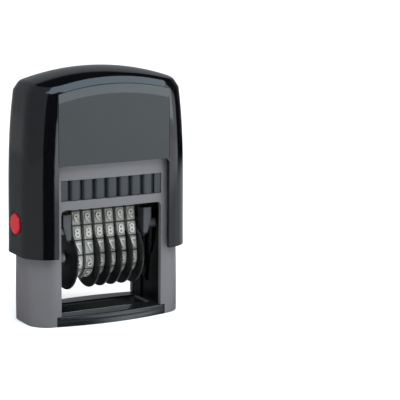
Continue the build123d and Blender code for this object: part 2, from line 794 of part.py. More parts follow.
for hand, side, x in (("left", -1, -wheel_edge - disc_gap), ("right", 1, axle_arm_in + arm_thickness)):
    with BuildPart() as axle_clip:
        with BuildSketch(Plane(origin=(x, 0, axle_height), z_dir=(side, 0, 0))):
            Circle(axle_radius + clip_reach)
            Circle(axle_radius, mode=Mode.SUBTRACT)
        extrude(amount=clip_thickness)
    axle_clip.part.label = f"axle_clip_{hand}"
    export_step(axle_clip.part, f"parts/axle_clip_{hand}.step")


# ---------------------------------------------------------------- number bands
type_loop = belt_hull(0).face().outer_wire()
type_pitch = type_loop.length / type_positions
nose_start = type_loop.param_at_point((0, reach - type_height, 0)) * type_loop.length
type_cut_depth = 4 * type_height                # cuts a gap right through the type


def type_gaps():
    """Places of the gaps between characters, one character facing straight out at the nose."""
    places = []
    for n in range(type_positions):
        along = (nose_start + (n + 0.5) * type_pitch) % type_loop.length
        point = type_loop.position_at(along, position_mode=PositionMode.LENGTH)
        heading = type_loop.tangent_at(along, position_mode=PositionMode.LENGTH)
        turn = degrees(atan2(heading.Y, heading.X))
        places.append(Location((point.X, point.Y, 0), (0, 0, turn)))
    return places


for n, x in enumerate(band_xs, start=1):
    with BuildPart() as band:
        with BuildSketch(side_plane(x - type_width / 2)):
            add(belt_hull(type_height))
            with Locations(*type_gaps()):
                Rectangle(type_gap, type_cut_depth, mode=Mode.SUBTRACT)
        extrude(amount=type_width)
        with BuildSketch(side_plane(x - band_width / 2)):
            add(belt_hull(0))
        extrude(amount=band_width)
        with BuildSketch(side_plane(x - band_width / 2)):
            add(belt_hull(-band_thickness))
        extrude(amount=band_width, mode=Mode.SUBTRACT)
    band.part.label = f"number_band_{n}"
    export_step(band.part, f"parts/number_band_{n}.step")


# ---------------------------------------------------------------- number wheels
def wheel_plane(x):
    """The plane at this x that faces +X, with the axle at its origin."""
    return Plane(origin=(x, 0, axle_height), x_dir=(0, 1, 0), z_dir=(1, 0, 0))


# The first wheel carries its disc on the left of its band, the others on the right.
for n, x in enumerate(band_xs, start=1):
    side = -1 if n == 1 else 1
    disc_middle = x + side * band_pitch / 2
    drum_start = x - side * band_width / 2
    with BuildPart() as wheel:
        with BuildSketch(wheel_plane(disc_middle - disc_thickness / 2)):
            Circle(wheel_radius)
            with PolarLocations(wheel_radius, knurl_count):
                Rectangle(2 * knurl_depth, 2 * knurl_depth, rotation=45, mode=Mode.SUBTRACT)
        extrude(amount=disc_thickness)
        with BuildSketch(wheel_plane(drum_start)):
            Circle(drum_radius)
            with PolarLocations(drum_radius, drum_flutes):
                Circle(drum_flute_radius, mode=Mode.SUBTRACT)
        extrude(amount=disc_middle - drum_start)
        with BuildSketch(wheel_plane(0)):
            Circle(axle_radius + running_gap)
        extrude(amount=far, both=True, mode=Mode.SUBTRACT)
    wheel.part.label = f"number_wheel_{n}"
    export_step(wheel.part, f"parts/number_wheel_{n}.step")
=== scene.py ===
import json
from math import asin, atan2, cos, hypot, pi, radians, sin

import bmesh
import bpy
from mathutils import Matrix, Vector


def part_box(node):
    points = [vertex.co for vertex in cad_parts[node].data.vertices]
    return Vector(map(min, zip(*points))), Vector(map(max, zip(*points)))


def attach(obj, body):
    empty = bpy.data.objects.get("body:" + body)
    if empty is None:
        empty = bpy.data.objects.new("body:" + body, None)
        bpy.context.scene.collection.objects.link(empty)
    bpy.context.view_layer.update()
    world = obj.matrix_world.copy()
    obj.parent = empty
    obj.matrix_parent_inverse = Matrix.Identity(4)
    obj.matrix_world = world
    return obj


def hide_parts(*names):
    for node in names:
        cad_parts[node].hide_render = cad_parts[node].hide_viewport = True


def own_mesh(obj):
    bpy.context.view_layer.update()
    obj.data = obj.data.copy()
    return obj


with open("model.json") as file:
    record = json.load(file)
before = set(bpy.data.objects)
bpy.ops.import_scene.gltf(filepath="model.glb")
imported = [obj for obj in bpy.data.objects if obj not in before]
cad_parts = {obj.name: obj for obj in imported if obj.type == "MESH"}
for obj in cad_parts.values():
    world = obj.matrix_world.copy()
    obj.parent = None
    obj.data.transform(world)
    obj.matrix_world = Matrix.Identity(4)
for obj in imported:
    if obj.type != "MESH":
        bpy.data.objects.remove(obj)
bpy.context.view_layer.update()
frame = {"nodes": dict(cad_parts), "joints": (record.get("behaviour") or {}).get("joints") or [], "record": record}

bl_info = {
    "name": "Band Numberer",
    "version": (1, 0, 0),
    "blender": (4, 5, 0),
    "location": "3D View > Sidebar > Numberer",
    "description": "Dresses a packed band numberer with its moulded, rubber and steel pieces",
    "category": "Object",
}

MM = 0.001
SLOT_OF = {row["node"]: row["material_slot"] for row in frame["record"]["subparts"]}
BODY_OF = {
    node: body for body, nodes in frame["record"]["behaviour"]["bodies"].items() for node in nodes
}
JOINT = {joint["name"]: joint for joint in frame["joints"]}
AXLE_HEIGHT = JOINT["wheel_1_turn"]["pos_m"][2]
BAND_COUNT = 6
# A band's characters, in their order along it.
TYPE_FACES = "-0987654321/.,"
# Nodes whose finish differs from their slot's.
OWN_FINISH = {
    "carrier_cheek_left": "cheek_grey", "carrier_cheek_right": "cheek_grey",
    "axle_clip_left": "clip_pale", "axle_clip_right": "clip_pale",
}


# ---------------------------------------------------------------- sizes and colours
def size(name, description, millimetres):
    """A length that a user may change, given in millimetres."""
    return bpy.props.FloatProperty(
        name=name, description=description, default=millimetres * MM, unit="LENGTH", precision=5
    )


def count(name, description, default):
    """A number of things."""
    return bpy.props.IntProperty(name=name, description=description, default=default, min=1)


def angle(name, description, degrees):
    """An angle, given in degrees."""
    return bpy.props.FloatProperty(
        name=name, description=description, default=radians(degrees), unit="ROTATION"
    )


def place(name, description, millimetres):
    """A place, given in millimetres."""
    return bpy.props.FloatVectorProperty(
        name=name, description=description, default=[v * MM for v in millimetres],
        unit="LENGTH", subtype="XYZ",
    )


def power(name, description, watts):
    """A lamp's power."""
    return bpy.props.FloatProperty(name=name, description=description, default=watts, unit="POWER")


def tint(name, description, default):
    """A colour that a user may change."""
    return bpy.props.FloatVectorProperty(
        name=name, description=description, default=default, subtype="COLOR", min=0.0, max=1.0
    )


class NumbererSizes(bpy.types.PropertyGroup):
    """Sizes of the pieces made here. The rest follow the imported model."""

    type_height: size("Type height", "Band surface to the top of its characters", 0.8)
    nose_half: size("Nose half", "Half of the flat printing face", 2.6)
    nose_corner: size("Nose corner", "Corner radius of the band at the nose", 2.0)
    drum_radius: size("Band on drum", "Radius of the band's outside on its drum", 8.1)
    band_width: size("Band width", "Width of one rubber band", 4.0)
    band_thickness: size("Band thickness", "Thickness without characters", 1.1)
    belt_ease: size("Belt ease", "Easing of the band's corners", 0.12)
    belt_step: size("Belt step", "Length of one face along the band", 0.5)
    path_step: size("Path step", "Spacing of the path's points", 0.25)
    bend_step: size("Bend step", "Spacing of the cuts that let a character bend", 0.6)
    cell_margin: size("Cell margin", "Band edge to a character's cell", 0.1)
    cell_gap: size("Cell gap", "Gap between neighbouring cells", 0.38)
    cell_corner: size("Cell corner", "Corner radius of a cell", 0.5)
    cell_height: size("Cell height", "Height of the cell's rim", 0.45)
    cell_slope: size("Cell slope", "Slope of the cell's sides", 0.14)
    cell_rim: size("Cell rim", "Width of the cell's rim", 0.16)
    cell_dish: size("Cell dish", "Depth of the dish inside the rim", 0.18)
    character_size: size("Character size", "Size of the letter form", 5.4)
    character_tall: size("Character height", "Height of a numeral", 3.9)
    character_wide: size("Character width", "Greatest width of a numeral", 2.5)
    character_rise: size("Character rise", "Height of the raised character", 0.55)
    character_slope: size("Character slope", "Sloping shoulder of a character", 0.12)
    character_weight: size("Character weight", "Stroke thickening", 0.04)
    wheel_radius: size("Wheel radius", "Radius over the knurl", 12.9)
    wheel_drum: size("Drum radius", "Radius of the wheel's drum", 6.7)
    disc_thickness: size("Disc thickness", "Thickness of a thumb wheel", 0.7)
    rim_width: size("Rim width", "Width of the raised rim", 1.3)
    hub_radius: size("Hub radius", "Radius of the raised hub", 3.4)
    bore_radius: size("Bore radius", "Radius of the axle hole", 1.65)
    wheel_dish: size("Wheel dish", "Depth of the web below rim and hub", 0.16)
    wheel_ease: size("Wheel ease", "Easing of the wheel's edges", 0.1)
    tooth_depth: size("Tooth depth", "Depth of the knurl", 0.5)
    flute_depth: size("Flute depth", "Depth of the drum's flutes", 0.6)
    teeth: count("Teeth", "Knurl teeth around a wheel", 76)
    flutes: count("Flutes", "Flutes around a drum", 8)
    rib_count: count("Ribs", "Whole ribs on each side of the cartridge", 7)
    rib_pitch: size("Rib pitch", "Spacing of the cartridge's ribs", 5.3714)
    rib_groove: size("Rib groove", "Width of the groove between ribs", 1.2)
    rib_crown: size("Rib crown", "How far a rib's middle stands forward", 0.38)
    rib_root: size("Rib root", "How far a rib reaches into the cartridge", 0.3)
    field_top: size("Field top", "Crown of the plates' matt field", 92.4)
    arch_radius: size("Arch radius", "Radius of the plates' arch", 97.0)
    clip_radius: size("Clip radius", "Radius of the domed clips on the axle's ends", 1.95)
    clip_rise: size("Clip rise", "Height of the clips' domes", 1.5)
    clip_bore: size("Clip bore", "Radius of the dimple in a dome", 0.2)
    spring_turns: count("Spring turns", "Turns of the return spring", 8)
    spring_wire: size("Spring wire", "Radius of the spring's wire", 0.5)


class NumbererColours(bpy.types.PropertyGroup):
    """Colours of the finishes."""

    base: tint("Base", "Satin grey of the base", (0.118, 0.112, 0.114))
    cap: tint("Cap", "Gloss black of the cap", (0.0022, 0.0024, 0.003))
    fascia: tint("Fascia", "Satin grey of the front and back plates", (0.019, 0.022, 0.023))
    # The plates' arched strip is painted paler: a painted highlight.
    strip: tint("Strip", "Paler arched strip above the plates' matt field", (0.040, 0.047, 0.047))
    foot: tint("Foot", "Black of the foot frame", (0.007, 0.0078, 0.0086))
    walls: tint("Guide walls", "Black of the guide walls", (0.0015, 0.0015, 0.0018))
    cartridge: tint("Cartridge", "Dark grey of the ink cartridge", (0.017, 0.020, 0.022))
    carrier: tint("Carrier", "Black of the carrier", (0.003, 0.003, 0.0034))
    cheeks: tint("Cheeks", "Dark satin grey of the carrier's cheeks", (0.040, 0.041, 0.045))
    clips: tint("Clips", "Pale nylon of the axle's clips", (0.48, 0.48, 0.49))
    wheels: tint("Wheels", "Black of the thumb wheels", (0.004, 0.004, 0.0045))
    button: tint("Button", "Red of the side buttons", (0.47, 0.008, 0.018))
    rubber: tint("Rubber", "Warm grey of the characters", (0.47, 0.452, 0.405))
    # Painted shade for the bands' channels and the characters' feet.
    rubber_painted_shade: tint("Rubber hollow", "Tone in the grooves of the bands", (0.030, 0.029, 0.026))
    felt: tint("Felt", "Ink-soaked felt", (0.012, 0.010, 0.022))
    steel: tint("Steel", "Spring and pressed steel", (0.46, 0.46, 0.47))
    bright_steel: tint("Bright steel", "Turned steel", (0.62, 0.61, 0.60))


class NumbererStage(bpy.types.PropertyGroup):
    """Camera and light."""

    camera_x: size("Camera X", "Camera's place across", -302.74)
    camera_y: size("Camera Y", "Camera's place in depth", -603.82)
    camera_z: size("Camera Z", "Camera's height", 173.01)
    azimuth: angle("Azimuth", "Camera's heading", 30.17)
    elevation: angle("Elevation", "Camera's downward tilt", 10.55)
    roll: angle("Roll", "Camera's roll", 0.56)
    lens: bpy.props.FloatProperty(
        name="Lens", description="Focal length on a 36 mm wide sensor", default=152.64,
        unit="CAMERA",
    )
    floor_size: size("Floor", "Half width of the floor", 6000.0)
    floor_tone: tint("Floor tone", "Colour of the floor", (0.98, 0.98, 0.98))
    backdrop_radius: size("Backdrop", "Radius of the backdrop around the floor", 5500.0)
    card_size: size("Table card", "Half width of the table seen in reflections", 1500.0)
    sky: bpy.props.FloatProperty(
        name="Sky", description="Strength of the light from above", default=3.35
    )
    sky_angle: angle("Sky angle", "Spread of the light from above", 120.0)
    front_place: place("Front place", "Middle of the front softbox", (480.0, -480.0, 229.0))
    front_aim: place("Front aim", "Where the front softbox faces", (0.0, 0.0, 60.0))
    front_width: size("Front width", "Width of the front softbox", 450.0)
    front_height: size("Front height", "Height of the front softbox", 480.0)
    front_power: power("Front power", "Power of the front softbox", 1.6)
    upper_place: place("Upper place", "Middle of the upper softbox", (170.0, -640.0, 790.0))
    upper_aim: place("Upper aim", "Where the upper softbox faces", (170.0, -640.0, 0.0))
    upper_width: size("Upper width", "Width of the upper softbox", 1600.0)
    upper_height: size("Upper height", "Height of the upper softbox", 620.0)
    upper_power: power("Upper power", "Power of the upper softbox", 11.7)
    front_tone: tint("Front tone", "Colour of the front softbox", (0.93, 0.98, 1.0))
    upper_tone: tint("Upper tone", "Colour of the upper softbox", (0.70, 0.85, 1.0))


# ---------------------------------------------------------------- nodes as expressions
class Socket:
    """One output of a node. Arithmetic on it adds Math nodes to the same tree."""

    def __init__(self, nodes, out):
        self.nodes = nodes
        self.out = out

    def other(self, name):
        """Another output of the same node."""
        return Socket(self.nodes, self.out.node.outputs[name])

    def maths(self, operation, first, second):
        """A Math node."""
        return self.nodes.add("ShaderNodeMath", {"operation": operation}, {0: first, 1: second})

    def __add__(self, value):
        return self.maths("ADD", self, value)

    __radd__ = __add__

    def __sub__(self, value):
        return self.maths("SUBTRACT", self, value)

    def __rsub__(self, value):
        return self.maths("SUBTRACT", value, self)

    def __mul__(self, value):
        return self.maths("MULTIPLY", self, value)

    __rmul__ = __mul__

    def __truediv__(self, value):
        return self.maths("DIVIDE", self, value)

    def __pow__(self, value):
        return self.maths("POWER", self, value)

    def __mod__(self, value):
        return self.maths("FLOORED_MODULO", self, value)

    def at_least(self, value):
        return self.maths("MAXIMUM", self, value)

    def at_most(self, value):
        return self.maths("MINIMUM", self, value)


class Nodes:
    """Makes nodes in one tree."""

    def __init__(self, tree):
        self.tree = tree

    def add(self, kind, settings=None, sockets=None, out=0):
        """A node of this kind: its settings first, then its sockets, then one of its outputs."""
        node = self.tree.nodes.new(kind)
        for name, value in (settings or {}).items():
            if name == "stops":
                ramp = node.color_ramp.elements
                while len(ramp) < len(value):
                    ramp.new(1.0)
                for element, (place, tone) in zip(ramp, value):
                    element.position = place
                    element.color = (*tone, 1.0)
            else:
                setattr(node, name, value)
        for name, value in (sockets or {}).items():
            for one in value if isinstance(value, list) else [value]:
                if isinstance(one, Socket):
                    self.tree.links.new(one.out, node.inputs[name])
                else:
                    node.inputs[name].default_value = one
        return Socket(self, node.outputs[out]) if node.outputs else None

    def vector(self, operation, first, second=None, out="Vector"):
        """A Vector Math node."""
        sockets = {0: first} if second is None else {0: first, 1: second}
        return self.add("ShaderNodeVectorMath", {"operation": operation}, sockets, out)

    def scaled(self, vector, factor):
        """A vector or colour made stronger or weaker."""
        return self.add(
            "ShaderNodeVectorMath", {"operation": "SCALE"}, {0: vector, "Scale": factor}
        )

    def mixed(self, factor, first, second):
        """From the first colour to the second."""
        settings = {"data_type": "RGBA"}
        return self.add("ShaderNodeMix", settings, {0: factor, 6: first, 7: second}, 2)


class Finish(Nodes):
    """A material with one Principled shader."""

    def __init__(self, name):
        self.material = bpy.data.materials.new(name + "_finish")
        self.material.use_nodes = True
        super().__init__(self.material.node_tree)
        self.tree.nodes.clear()
        self.shader = self.tree.nodes.new("ShaderNodeBsdfPrincipled")
        self.add("ShaderNodeOutputMaterial", {}, {"Surface": Socket(self, self.shader.outputs[0])})
        self.place = self.add("ShaderNodeTexCoord", out="Object")

    def noise(self, size, detail=2.0, stretch=(1.0, 1.0, 1.0)):
        """Soft noise whose blobs are about this wide, stretched along the axes."""
        place = self.vector("DIVIDE", self.place, stretch)
        return self.add(
            "ShaderNodeTexNoise", {}, {"Vector": place, "Scale": 1 / size, "Detail": detail}
        )

    def put(self, name, value):
        """Sets or links one socket of the shader."""
        if isinstance(value, Socket):
            self.tree.links.new(value.out, self.shader.inputs[name])
        else:
            self.shader.inputs[name].default_value = value

    def rounded(self, radius):
        """The surface's normal, softened along hard edges."""
        return self.add("ShaderNodeBevel", {"samples": 4}, {"Radius": radius}, "Normal")

    def edge_mask(self, softened, reach=6.0):
        """1 along hard edges, 0 on plain faces."""
        true_normal = self.add("ShaderNodeNewGeometry", out="Normal")
        along = self.vector("DOT_PRODUCT", softened, true_normal, "Value")
        return (reach * (1 - along)).at_most(1.0).at_least(0.0)

    def bumped(self, height, depth, normal=None):
        """Small relief of this depth on the surface."""
        sockets = {"Strength": 1.0, "Distance": depth, "Height": height}
        if normal is not None:
            sockets["Normal"] = normal
        return self.add("ShaderNodeBump", {}, sockets, "Normal")


# ---------------------------------------------------------------- finishes
def soft_step(nodes, value, begin, end, before, after):
    """From one value to another between two places."""
    return nodes.add("ShaderNodeMapRange", {"interpolation_type": "SMOOTHSTEP"}, {
        "Value": value, "From Min": begin, "From Max": end, "To Min": before, "To Max": after,
    })


def rgba(colour):
    """A colour with full alpha."""
    return (*colour, 1.0)


def moulded(name, colour, roughness, grain, relief, edge, specular=0.5, wear_and_highlight=0.25, smears=0.12):
    """Injection-moulded plastic: fine grain, faint clouds, handling smears, and paler edges: worn edges, and where
    the paling is full, as on the wheels' rims, a painted highlight.

    The width of the grain, its relief and the radius of the softened edges are in millimetres.
    """
    finish = Finish(name)
    cloud = finish.noise(14 * MM, 3.0)
    smear = finish.noise(4 * MM, 4.0)
    speck = finish.noise(grain * MM, 1.0)
    softened = finish.rounded(edge * MM)
    # Paler hard edges: wear, and where the paling is full, as on the wheels' rims, a painted highlight.
    worn_and_highlit = finish.edge_mask(softened) * wear_and_highlight
    tone = finish.scaled(tuple(colour), 1 + 0.16 * (cloud - 0.5) + 0.1 * (speck - 0.5))
    pale = tuple(min(1.0, 1.9 * c + 0.015) for c in colour)
    finish.put("Base Color", finish.mixed(worn_and_highlit, tone, rgba(pale)))
    finish.put("Roughness", roughness + smears * (smear - 0.5) + 0.6 * smears * (speck - 0.5))
    finish.put("Normal", finish.bumped(speck, relief * MM, softened))
    finish.put("Specular IOR Level", specular)


def steel(name, colour, roughness, grain, stretch):
    """Worked steel with fine lines, this many millimetres apart and stretched along the axes."""
    finish = Finish(name)
    lines = finish.noise(grain * MM, 3.0, stretch)
    cloud = finish.noise(5 * MM, 3.0)
    softened = finish.rounded(0.12 * MM)
    tone = finish.scaled(tuple(colour), 1 + 0.25 * (lines - 0.5) - 0.15 * (cloud - 0.5))
    finish.put("Base Color", tone)
    finish.put("Metallic", 1.0)
    finish.put("Roughness", roughness + 0.3 * (lines - 0.5))
    finish.put("Normal", finish.bumped(lines, 0.004 * MM, softened))


def felt(name, colour):
    """Ink-soaked felt: matted fibres, wetter in patches."""
    finish = Finish(name)
    fibre = finish.noise(0.25 * MM, 5.0, (3.0, 1.0, 1.0))
    wet = finish.noise(4 * MM, 2.0)
    finish.put("Base Color", finish.scaled(tuple(colour), 0.6 + 0.9 * fibre))
    finish.put("Roughness", 0.85 - 0.45 * wet)
    finish.put("Normal", finish.bumped(fibre, 0.08 * MM))


def type_rubber(name, face, painted_shade):
    """Moulded band rubber toned by height: painted shade in the channels around the cells and at the characters'
    feet, and character faces painted paler than the cells and belt.
    """
    finish = Finish(name)
    depth = finish.add("ShaderNodeAttribute", {"attribute_name": "type_depth"}, out="Fac")
    cloud = finish.noise(3.5 * MM, 4.0)
    speck = finish.noise(0.14 * MM, 2.0)
    # The cells are painted darker than the character faces, so the faces read as lit.
    cell = tuple(0.66 * tone for tone in face)
    # By height: the belt, the channels around the cells in painted shade, the cells, a character's foot in painted
    # shade, and its face painted paler than the cells.
    stops = [
        (0.30, cell), (0.42, painted_shade), (0.515, painted_shade), (0.60, cell),
        (0.775, cell), (0.79, painted_shade), (0.88, painted_shade), (0.96, face),
    ]
    tone = finish.add("ShaderNodeValToRGB", {"stops": stops}, {"Fac": 0.5 + 0.5 * depth})
    tone = finish.scaled(tone, 0.75 + 0.5 * cloud)
    finish.put("Base Color", finish.scaled(tone, 0.92 + 0.16 * speck))
    finish.put("Roughness", 0.5 + 0.2 * speck)
    finish.put("Normal", finish.bumped(speck, 0.012 * MM))
    finish.put("Specular IOR Level", 0.35)


def plate_plastic(name, field, strip, sizes):
    """The plates' plastic: a matt field below and a smoother arched strip above it, painted paler as a highlight.
    """
    finish = Finish(name)
    axes = finish.add("ShaderNodeSeparateXYZ", {}, {"Vector": finish.place})
    rise = axes.other("Z") - (sizes.field_top - sizes.arch_radius)
    from_centre = (axes ** 2.0 + rise ** 2.0) ** 0.5
    blur = 0.15 * MM
    # The arched strip above the field: smoother, and painted paler as a highlight.
    above = soft_step(finish, from_centre - sizes.arch_radius, -blur, blur, 0.0, 1.0)
    speck = finish.noise(0.35 * MM, 1.0)
    cloud = finish.noise(12 * MM, 3.0)
    tone = finish.mixed(above, rgba(field), rgba(strip))
    finish.put("Base Color", finish.scaled(tone, 0.8 + 0.25 * speck + 0.15 * cloud))
    finish.put("Roughness", 0.42 - 0.18 * above + 0.08 * (speck - 0.5))
    finish.put("Normal", finish.bumped(speck * (1 - 0.8 * above), 0.012 * MM))


def make_finishes(colours, sizes):
    """Every finish of the machine, named for the record's slots and for OWN_FINISH."""
    moulded("base_grey", colours.base, roughness=0.42, grain=0.35, relief=0.006, edge=0.3)
    moulded(
        "cap_black", colours.cap, roughness=0.07, grain=0.5, relief=0.0008, edge=0.35,
        wear_and_highlight=0.04, smears=0.03,
    )
    plate_plastic("fascia_grey", colours.fascia, colours.strip, sizes)
    moulded(
        "black_satin", colours.foot, roughness=0.16, grain=0.4, relief=0.002, edge=0.35, wear_and_highlight=0.15
    )
    moulded(
        "black_matte", colours.walls, roughness=0.3, grain=0.3, relief=0.002, edge=0.2,
        specular=0.1, wear_and_highlight=0.03,
    )
    moulded(
        "cartridge_grey", colours.cartridge, roughness=0.3, grain=0.3, relief=0.003, edge=0.25,
        wear_and_highlight=0.2,
    )
    moulded(
        "carrier_black", colours.carrier, roughness=0.3, grain=0.3, relief=0.003, edge=0.3, wear_and_highlight=0.1
    )
    moulded(
        "cheek_grey", colours.cheeks, roughness=0.3, grain=0.3, relief=0.002, edge=0.9, wear_and_highlight=0.0
    )
    moulded("clip_pale", colours.clips, roughness=0.35, grain=0.3, relief=0.002, edge=0.2, wear_and_highlight=0.0)
    moulded(
        # The full edge paling here is a painted highlight along the knurled rims.
        "wheel_black", colours.wheels, roughness=0.38, grain=0.25, relief=0.004, edge=0.14,
        specular=0.4, wear_and_highlight=1.0,
    )
    moulded(
        "button_red", colours.button, roughness=0.25, grain=0.4, relief=0.002, edge=0.3, wear_and_highlight=0.05
    )
    type_rubber("band_rubber", tuple(colours.rubber), tuple(colours.rubber_painted_shade))
    felt("ink_felt", colours.felt)
    steel("spring_steel", colours.steel, roughness=0.3, grain=0.1, stretch=(1.0, 1.0, 6.0))
    steel("pressed_steel", colours.steel, roughness=0.38, grain=0.12, stretch=(1.0, 1.0, 25.0))
    across = (1.0, 12.0, 12.0)
    steel("turned_steel", colours.bright_steel, roughness=0.25, grain=0.1, stretch=across)


# ---------------------------------------------------------------- meshes
def in_scene(name, data):
    """A new object in the scene."""
    holder = bpy.data.objects.new(name, data)
    bpy.context.scene.collection.objects.link(holder)
    return holder


def finish_of(node):
    """The finish of a CAD node: its own, or its slot's."""
    return bpy.data.materials[OWN_FINISH.get(node, SLOT_OF[node]) + "_finish"]


def new_piece(name, mesh, node, replaced=()):
    """Puts a mesh in the scene as a piece that rides with a CAD node's body and has its finish."""
    piece = in_scene(name, mesh)
    mesh.materials.clear()
    mesh.materials.append(finish_of(node))
    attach(piece, BODY_OF[node])
    if replaced:
        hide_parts(*replaced)
    return piece


def plain_mesh(name, points, faces, sharp=radians(35)):
    """A mesh from its points and faces, smooth but for its sharp edges."""
    mesh = bpy.data.meshes.new(name)
    mesh.from_pydata(points, [], faces)
    mesh.validate()
    mesh.shade_smooth()
    mesh.set_sharp_from_angle(angle=sharp)
    return mesh


def closed_mesh(name, points, faces, sharp):
    """A closed mesh, with its doubles merged and its faces turned outwards."""
    mesh = plain_mesh(name, points, faces, sharp)
    work = bmesh.new()
    work.from_mesh(mesh)
    bmesh.ops.remove_doubles(work, verts=work.verts, dist=0.0005 * MM)
    bmesh.ops.recalc_face_normals(work, faces=work.faces)
    work.to_mesh(mesh)
    work.free()
    mesh.set_sharp_from_angle(angle=sharp)
    return mesh


def welded(node, name, sharp=radians(28)):
    """A piece of a CAD node's own shape, welded so that its curved faces shade smoothly."""
    work = bmesh.new()
    work.from_mesh(frame["nodes"][node].data)
    bmesh.ops.remove_doubles(work, verts=work.verts, dist=0.002 * MM)
    bmesh.ops.dissolve_degenerate(work, edges=work.edges, dist=0.0005 * MM)
    work.verts.index_update()
    points = [tuple(v.co) for v in work.verts]
    faces = [[v.index for v in f.verts] for f in work.faces]
    work.free()
    return new_piece(name, plain_mesh(name, points, faces, sharp=sharp), node, [node])


def ring_faces(rings, count, closed=True):
    """Faces between rings of count points, and from the last ring to the first where closed."""
    faces = []
    for k in range(rings if closed else rings - 1):
        ring, after = k * count, (k + 1) % rings * count
        for j in range(count):
            beside = (j + 1) % count
            faces.append((ring + j, ring + beside, after + beside, after + j))
    return faces


def lathe(profile, height, steps, reach=None):
    """Turns a closed (radius, x) profile about an axis along X at this height.

    reach changes a radius by the profile's point and the angle.
    """
    points = []
    for k in range(steps):
        turn = 2 * pi * k / steps
        for j, (radius, x) in enumerate(profile):
            r = radius if reach is None else reach(j, radius, turn)
            points.append((x, r * cos(turn), height + r * sin(turn)))
    return points, ring_faces(steps, len(profile))


# ---------------------------------------------------------------- geometry node trees
class Recipe(Nodes):
    """A Geometry Nodes tree with named inputs, which ends in realized instances and a material."""

    def __init__(self, name, inputs):
        super().__init__(bpy.data.node_groups.new(name, "GeometryNodeTree"))
        for label, kind in {**inputs, "Material": "NodeSocketMaterial"}.items():
            self.tree.interface.new_socket(label, in_out="INPUT", socket_type=kind)
        self.tree.interface.new_socket(
            "Geometry", in_out="OUTPUT", socket_type="NodeSocketGeometry"
        )
        self.start = self.tree.nodes.new("NodeGroupInput")

    def __getitem__(self, label):
        return Socket(self, self.start.outputs[label])

    def close(self, geometry):
        """Ends the tree."""
        whole = self.add("GeometryNodeRealizeInstances", {}, {"Geometry": geometry})
        dressed = self.add(
            "GeometryNodeSetMaterial", {}, {"Geometry": whole, "Material": self["Material"]}
        )
        self.add("NodeGroupOutput", {}, {"Geometry": dressed})

    def bake(self, name, material, values):
        """Runs the tree with these inputs and keeps the result as a plain mesh."""
        holder = in_scene(name + "_maker", bpy.data.meshes.new(name + "_maker"))
        modifier = holder.modifiers.new(name, "NODES")
        modifier.node_group = self.tree
        values = {**values, "Material": material}
        for item in self.tree.interface.items_tree:
            if item.in_out == "INPUT" and item.name in values:
                modifier[item.identifier] = values[item.name]
        graph = bpy.context.evaluated_depsgraph_get()
        mesh = bpy.data.meshes.new_from_object(
            holder.evaluated_get(graph), preserve_all_data_layers=True, depsgraph=graph
        )
        holder.modifiers.remove(modifier)
        bpy.data.objects.remove(holder)
        mesh.name = name
        return mesh


def row_recipe():
    """Copies of one shape in a straight row."""
    recipe = Recipe("row", {
        "Shape": "NodeSocketObject", "Count": "NodeSocketInt",
        "First": "NodeSocketVector", "Step": "NodeSocketVector",
    })
    row = recipe.add("GeometryNodeMeshLine", {}, {
        "Count": recipe["Count"], "Start Location": recipe["First"], "Offset": recipe["Step"],
    })
    shape = recipe.add("GeometryNodeObjectInfo", {}, {"Object": recipe["Shape"]}, "Geometry")
    copies = recipe.add("GeometryNodeInstanceOnPoints", {}, {"Points": row, "Instance": shape})
    recipe.close(copies)
    return recipe


def coil_recipe():
    """A coil spring standing on its foot."""
    recipe = Recipe("coil", {
        "Turns": "NodeSocketFloat", "Radius": "NodeSocketFloat", "Height": "NodeSocketFloat",
        "Wire": "NodeSocketFloat", "Foot": "NodeSocketVector",
    })
    line = recipe.add("GeometryNodeCurveSpiral", {}, {
        "Resolution": 40, "Rotations": recipe["Turns"], "Start Radius": recipe["Radius"],
        "End Radius": recipe["Radius"], "Height": recipe["Height"],
    })
    section = recipe.add("GeometryNodeCurvePrimitiveCircle", {}, {
        "Resolution": 14, "Radius": recipe["Wire"],
    })
    wire = recipe.add("GeometryNodeCurveToMesh", {}, {
        "Curve": line, "Profile Curve": section, "Fill Caps": True,
    })
    placed = recipe.add("GeometryNodeTransform", {}, {
        "Geometry": wire, "Translation": recipe["Foot"],
    })
    recipe.close(placed)
    return recipe


